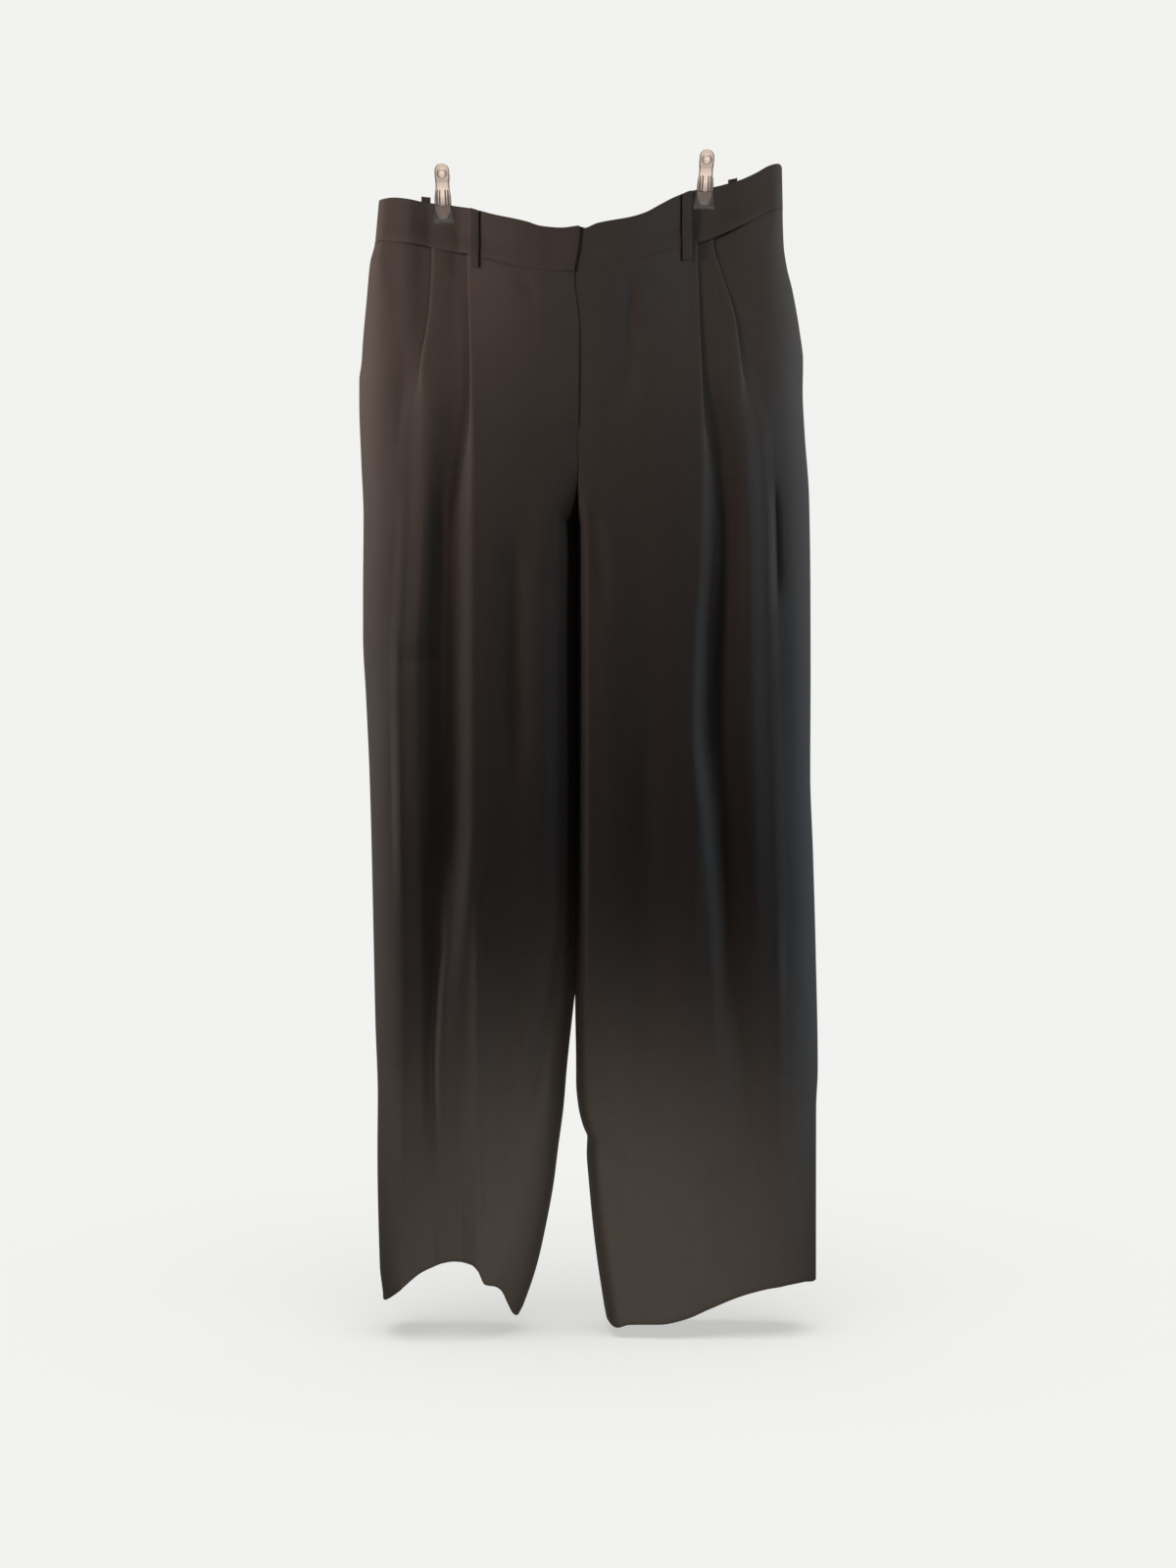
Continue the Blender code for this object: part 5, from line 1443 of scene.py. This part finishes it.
class TROUSERS_OT_stage(bpy.types.Operator):
    """Sets the camera, the floor and the soft studio light"""

    bl_idname = "trousers.stage"
    bl_label = "Stage"

    def execute(self, context):
        stage = context.scene.trousers_stage
        self.surround(stage)
        floor = self.floor(stage)
        on_cloth = bpy.data.collections.new("only_the_cloth")
        on_cloth.objects.link(floor)
        for piece in context.scene.collection.objects:
            if piece.name.startswith("clip_"):
                on_cloth.objects.link(piece)
        for item in on_cloth.collection_objects:
            item.light_linking.link_state = "EXCLUDE"
        on_floor = bpy.data.collections.new("only_the_floor")
        on_floor.objects.link(floor)
        for name, azimuth, elevation, width, tint in SUNS:
            self.sun(name, getattr(stage, name), tint, azimuth, elevation, width, on_cloth)
        white = (1.0, 1.0, 1.0)
        self.sun("floor", stage.floor_light, white, 0, FLOOR_LIGHT_UP, stage.floor_spread, on_floor)
        for name, place, azimuth, height, tint in PANELS:
            self.panel(name, getattr(stage, name), place, azimuth, height, tint, on_cloth)
        self.spot("hem", stage.hem, on_cloth)
        self.camera(stage)
        context.scene.view_settings.view_transform = "Standard"
        return {"FINISHED"}

    def surround(self, stage):
        """A pale world. It lights cloth only a little, and metal mirrors it darker to the sides and below."""
        world = bpy.data.worlds.new("pale_studio")
        nodes = Nodes(world)
        place = nodes.add("ShaderNodeTexCoord", output="Generated")
        across, up = (nodes.add("ShaderNodeSeparateXYZ", {}, {0: place}, axis) for axis in "XZ")
        tones = []
        for value, steps in ((across.abs(), MIRRORED_ACROSS), (up, MIRRORED_UP)):
            limits = dict(zip(("From Min", "From Max", "To Min", "To Max"), steps))
            tones.append(nodes.add("ShaderNodeMapRange", {}, {"Value": value, **limits}))
        pale = nodes.add("ShaderNodeBackground", {}, {"Color": colour(stage.surround)})
        dim = nodes.add("ShaderNodeBackground", {}, {"Color": colour(stage.fill)})
        mirrored = nodes.add("ShaderNodeBackground", {}, {"Strength": tones[0] * tones[1]})
        seen = pale
        for ray, other in (("Is Diffuse Ray", dim), ("Is Glossy Ray", mirrored)):
            share = nodes.add("ShaderNodeLightPath", output=ray)
            seen = nodes.add("ShaderNodeMixShader", {}, {0: share, 1: seen, 2: other})
        nodes.feed("Surface", seen, "World Output")
        bpy.context.scene.world = world

    def floor(self, stage):
        """A plain floor of the surround's own colour, part of which is its own soft glow."""
        bm = bmesh.new()
        bmesh.ops.create_grid(bm, x_segments=1, y_segments=1, size=40)
        bmesh.ops.translate(bm, verts=bm.verts, vec=(0, 0, CAD_BOX[0][2] - stage.floor_drop))
        mesh = bpy.data.meshes.new("floor")
        bm.to_mesh(mesh)
        bm.free()
        floor = bpy.data.objects.new("floor", mesh)
        bpy.context.scene.collection.objects.link(floor)
        glow, lit = stage.floor_glow, stage.floor_light / math.pi * math.sin(math.radians(FLOOR_LIGHT_UP))
        nodes = Nodes(
            bpy.data.materials.new("pale_floor"),
            Base_Color=colour((1 - glow) * c / (lit + fill) for c, fill in zip(stage.surround, stage.fill)),
            Roughness=1.0,
            Specular_IOR_Level=0.0,
            Emission_Color=colour(stage.surround),
            Emission_Strength=glow,
        )
        mesh.materials.append(nodes.owner)
        floor.visible_diffuse = False
        floor.visible_glossy = False
        return floor

    def light(self, name, kind, strength, tint, receivers, blockers=None):
        light = bpy.data.lights.new(f"{name}_light", kind)
        light.energy = strength
        light.color = tint
        lamp = bpy.data.objects.new(f"{name}_light", light)
        lamp.light_linking.receiver_collection = receivers
        lamp.light_linking.blocker_collection = blockers
        bpy.context.scene.collection.objects.link(lamp)
        return lamp, light

    def sun(self, name, strength, tint, azimuth, elevation, width, receivers):
        """A wide, soft light. azimuth 0 comes from the viewer's side, and a positive one from the right."""
        lamp, light = self.light(name, "SUN", strength, tint, receivers)
        light.angle = math.radians(width)
        lamp.rotation_euler = (math.radians(90 - elevation), 0, math.radians(azimuth))

    def panel(self, name, strength, place, azimuth, height, tint, receivers):
        """A tall panel of light that the camera doesn't see."""
        lamp, light = self.light(name, "AREA", strength, tint, receivers, receivers)
        light.shape = "RECTANGLE"
        light.size, light.size_y = PANEL_WIDTH, height
        lamp.visible_camera = False
        lamp.location = place
        lamp.rotation_euler = (math.radians(90), 0, math.radians(azimuth))

    def spot(self, name, strength, receivers):
        lamp, light = self.light(name, "SPOT", strength, HEM_TINT, receivers)
        light.spot_size = math.radians(HEM_CONE)
        light.spot_blend = 1.0
        light.shadow_soft_size = HEM_RADIUS
        lamp.location = HEM_SPOT
        towards = Vector(HEM_TARGET) - Vector(HEM_SPOT)
        lamp.rotation_euler = towards.to_track_quat("-Z", "Y").to_euler()

    def camera(self, stage):
        camera = bpy.data.cameras.new("camera")
        camera.lens = CAMERA_LENS
        view = bpy.data.objects.new("camera", camera)
        view.location = (CAMERA_X, GARMENT.y * MM - stage.distance, CAMERA_Z)
        view.rotation_euler = (math.radians(90), 0, 0)
        bpy.context.scene.collection.objects.link(view)
        bpy.context.scene.camera = view


class TROUSERS_PT_panel(bpy.types.Panel):
    """The trousers' pieces, one button for each group"""

    bl_idname = "TROUSERS_PT_panel"
    bl_label = "Trousers"
    bl_space_type = "VIEW_3D"
    bl_region_type = "UI"
    bl_category = "Trousers"

    def draw(self, context):
        for operator in OPERATORS:
            self.layout.operator(operator.bl_idname)
        for name, settings in SETTINGS.items():
            box = self.layout.box()
            for key in settings.__annotations__:
                box.prop(getattr(context.scene, name), key)


OPERATORS = (
    TROUSERS_OT_legs,
    TROUSERS_OT_waistband,
    TROUSERS_OT_fly,
    TROUSERS_OT_pockets,
    TROUSERS_OT_belt_loops,
    TROUSERS_OT_clips,
    TROUSERS_OT_stage,
)
CLASSES = (*SETTINGS.values(), *OPERATORS, TROUSERS_PT_panel)


def register():
    for cls in CLASSES:
        bpy.utils.register_class(cls)
    for name, settings in SETTINGS.items():
        setattr(bpy.types.Scene, name, bpy.props.PointerProperty(type=settings))


def unregister():
    for name in SETTINGS:
        delattr(bpy.types.Scene, name)
    for cls in reversed(CLASSES):
        bpy.utils.unregister_class(cls)


def main():
    register()
    for operator in OPERATORS:
        group, name = operator.bl_idname.split(".")
        getattr(getattr(bpy.ops, group), name)()


if __name__ == "__main__":
    main()
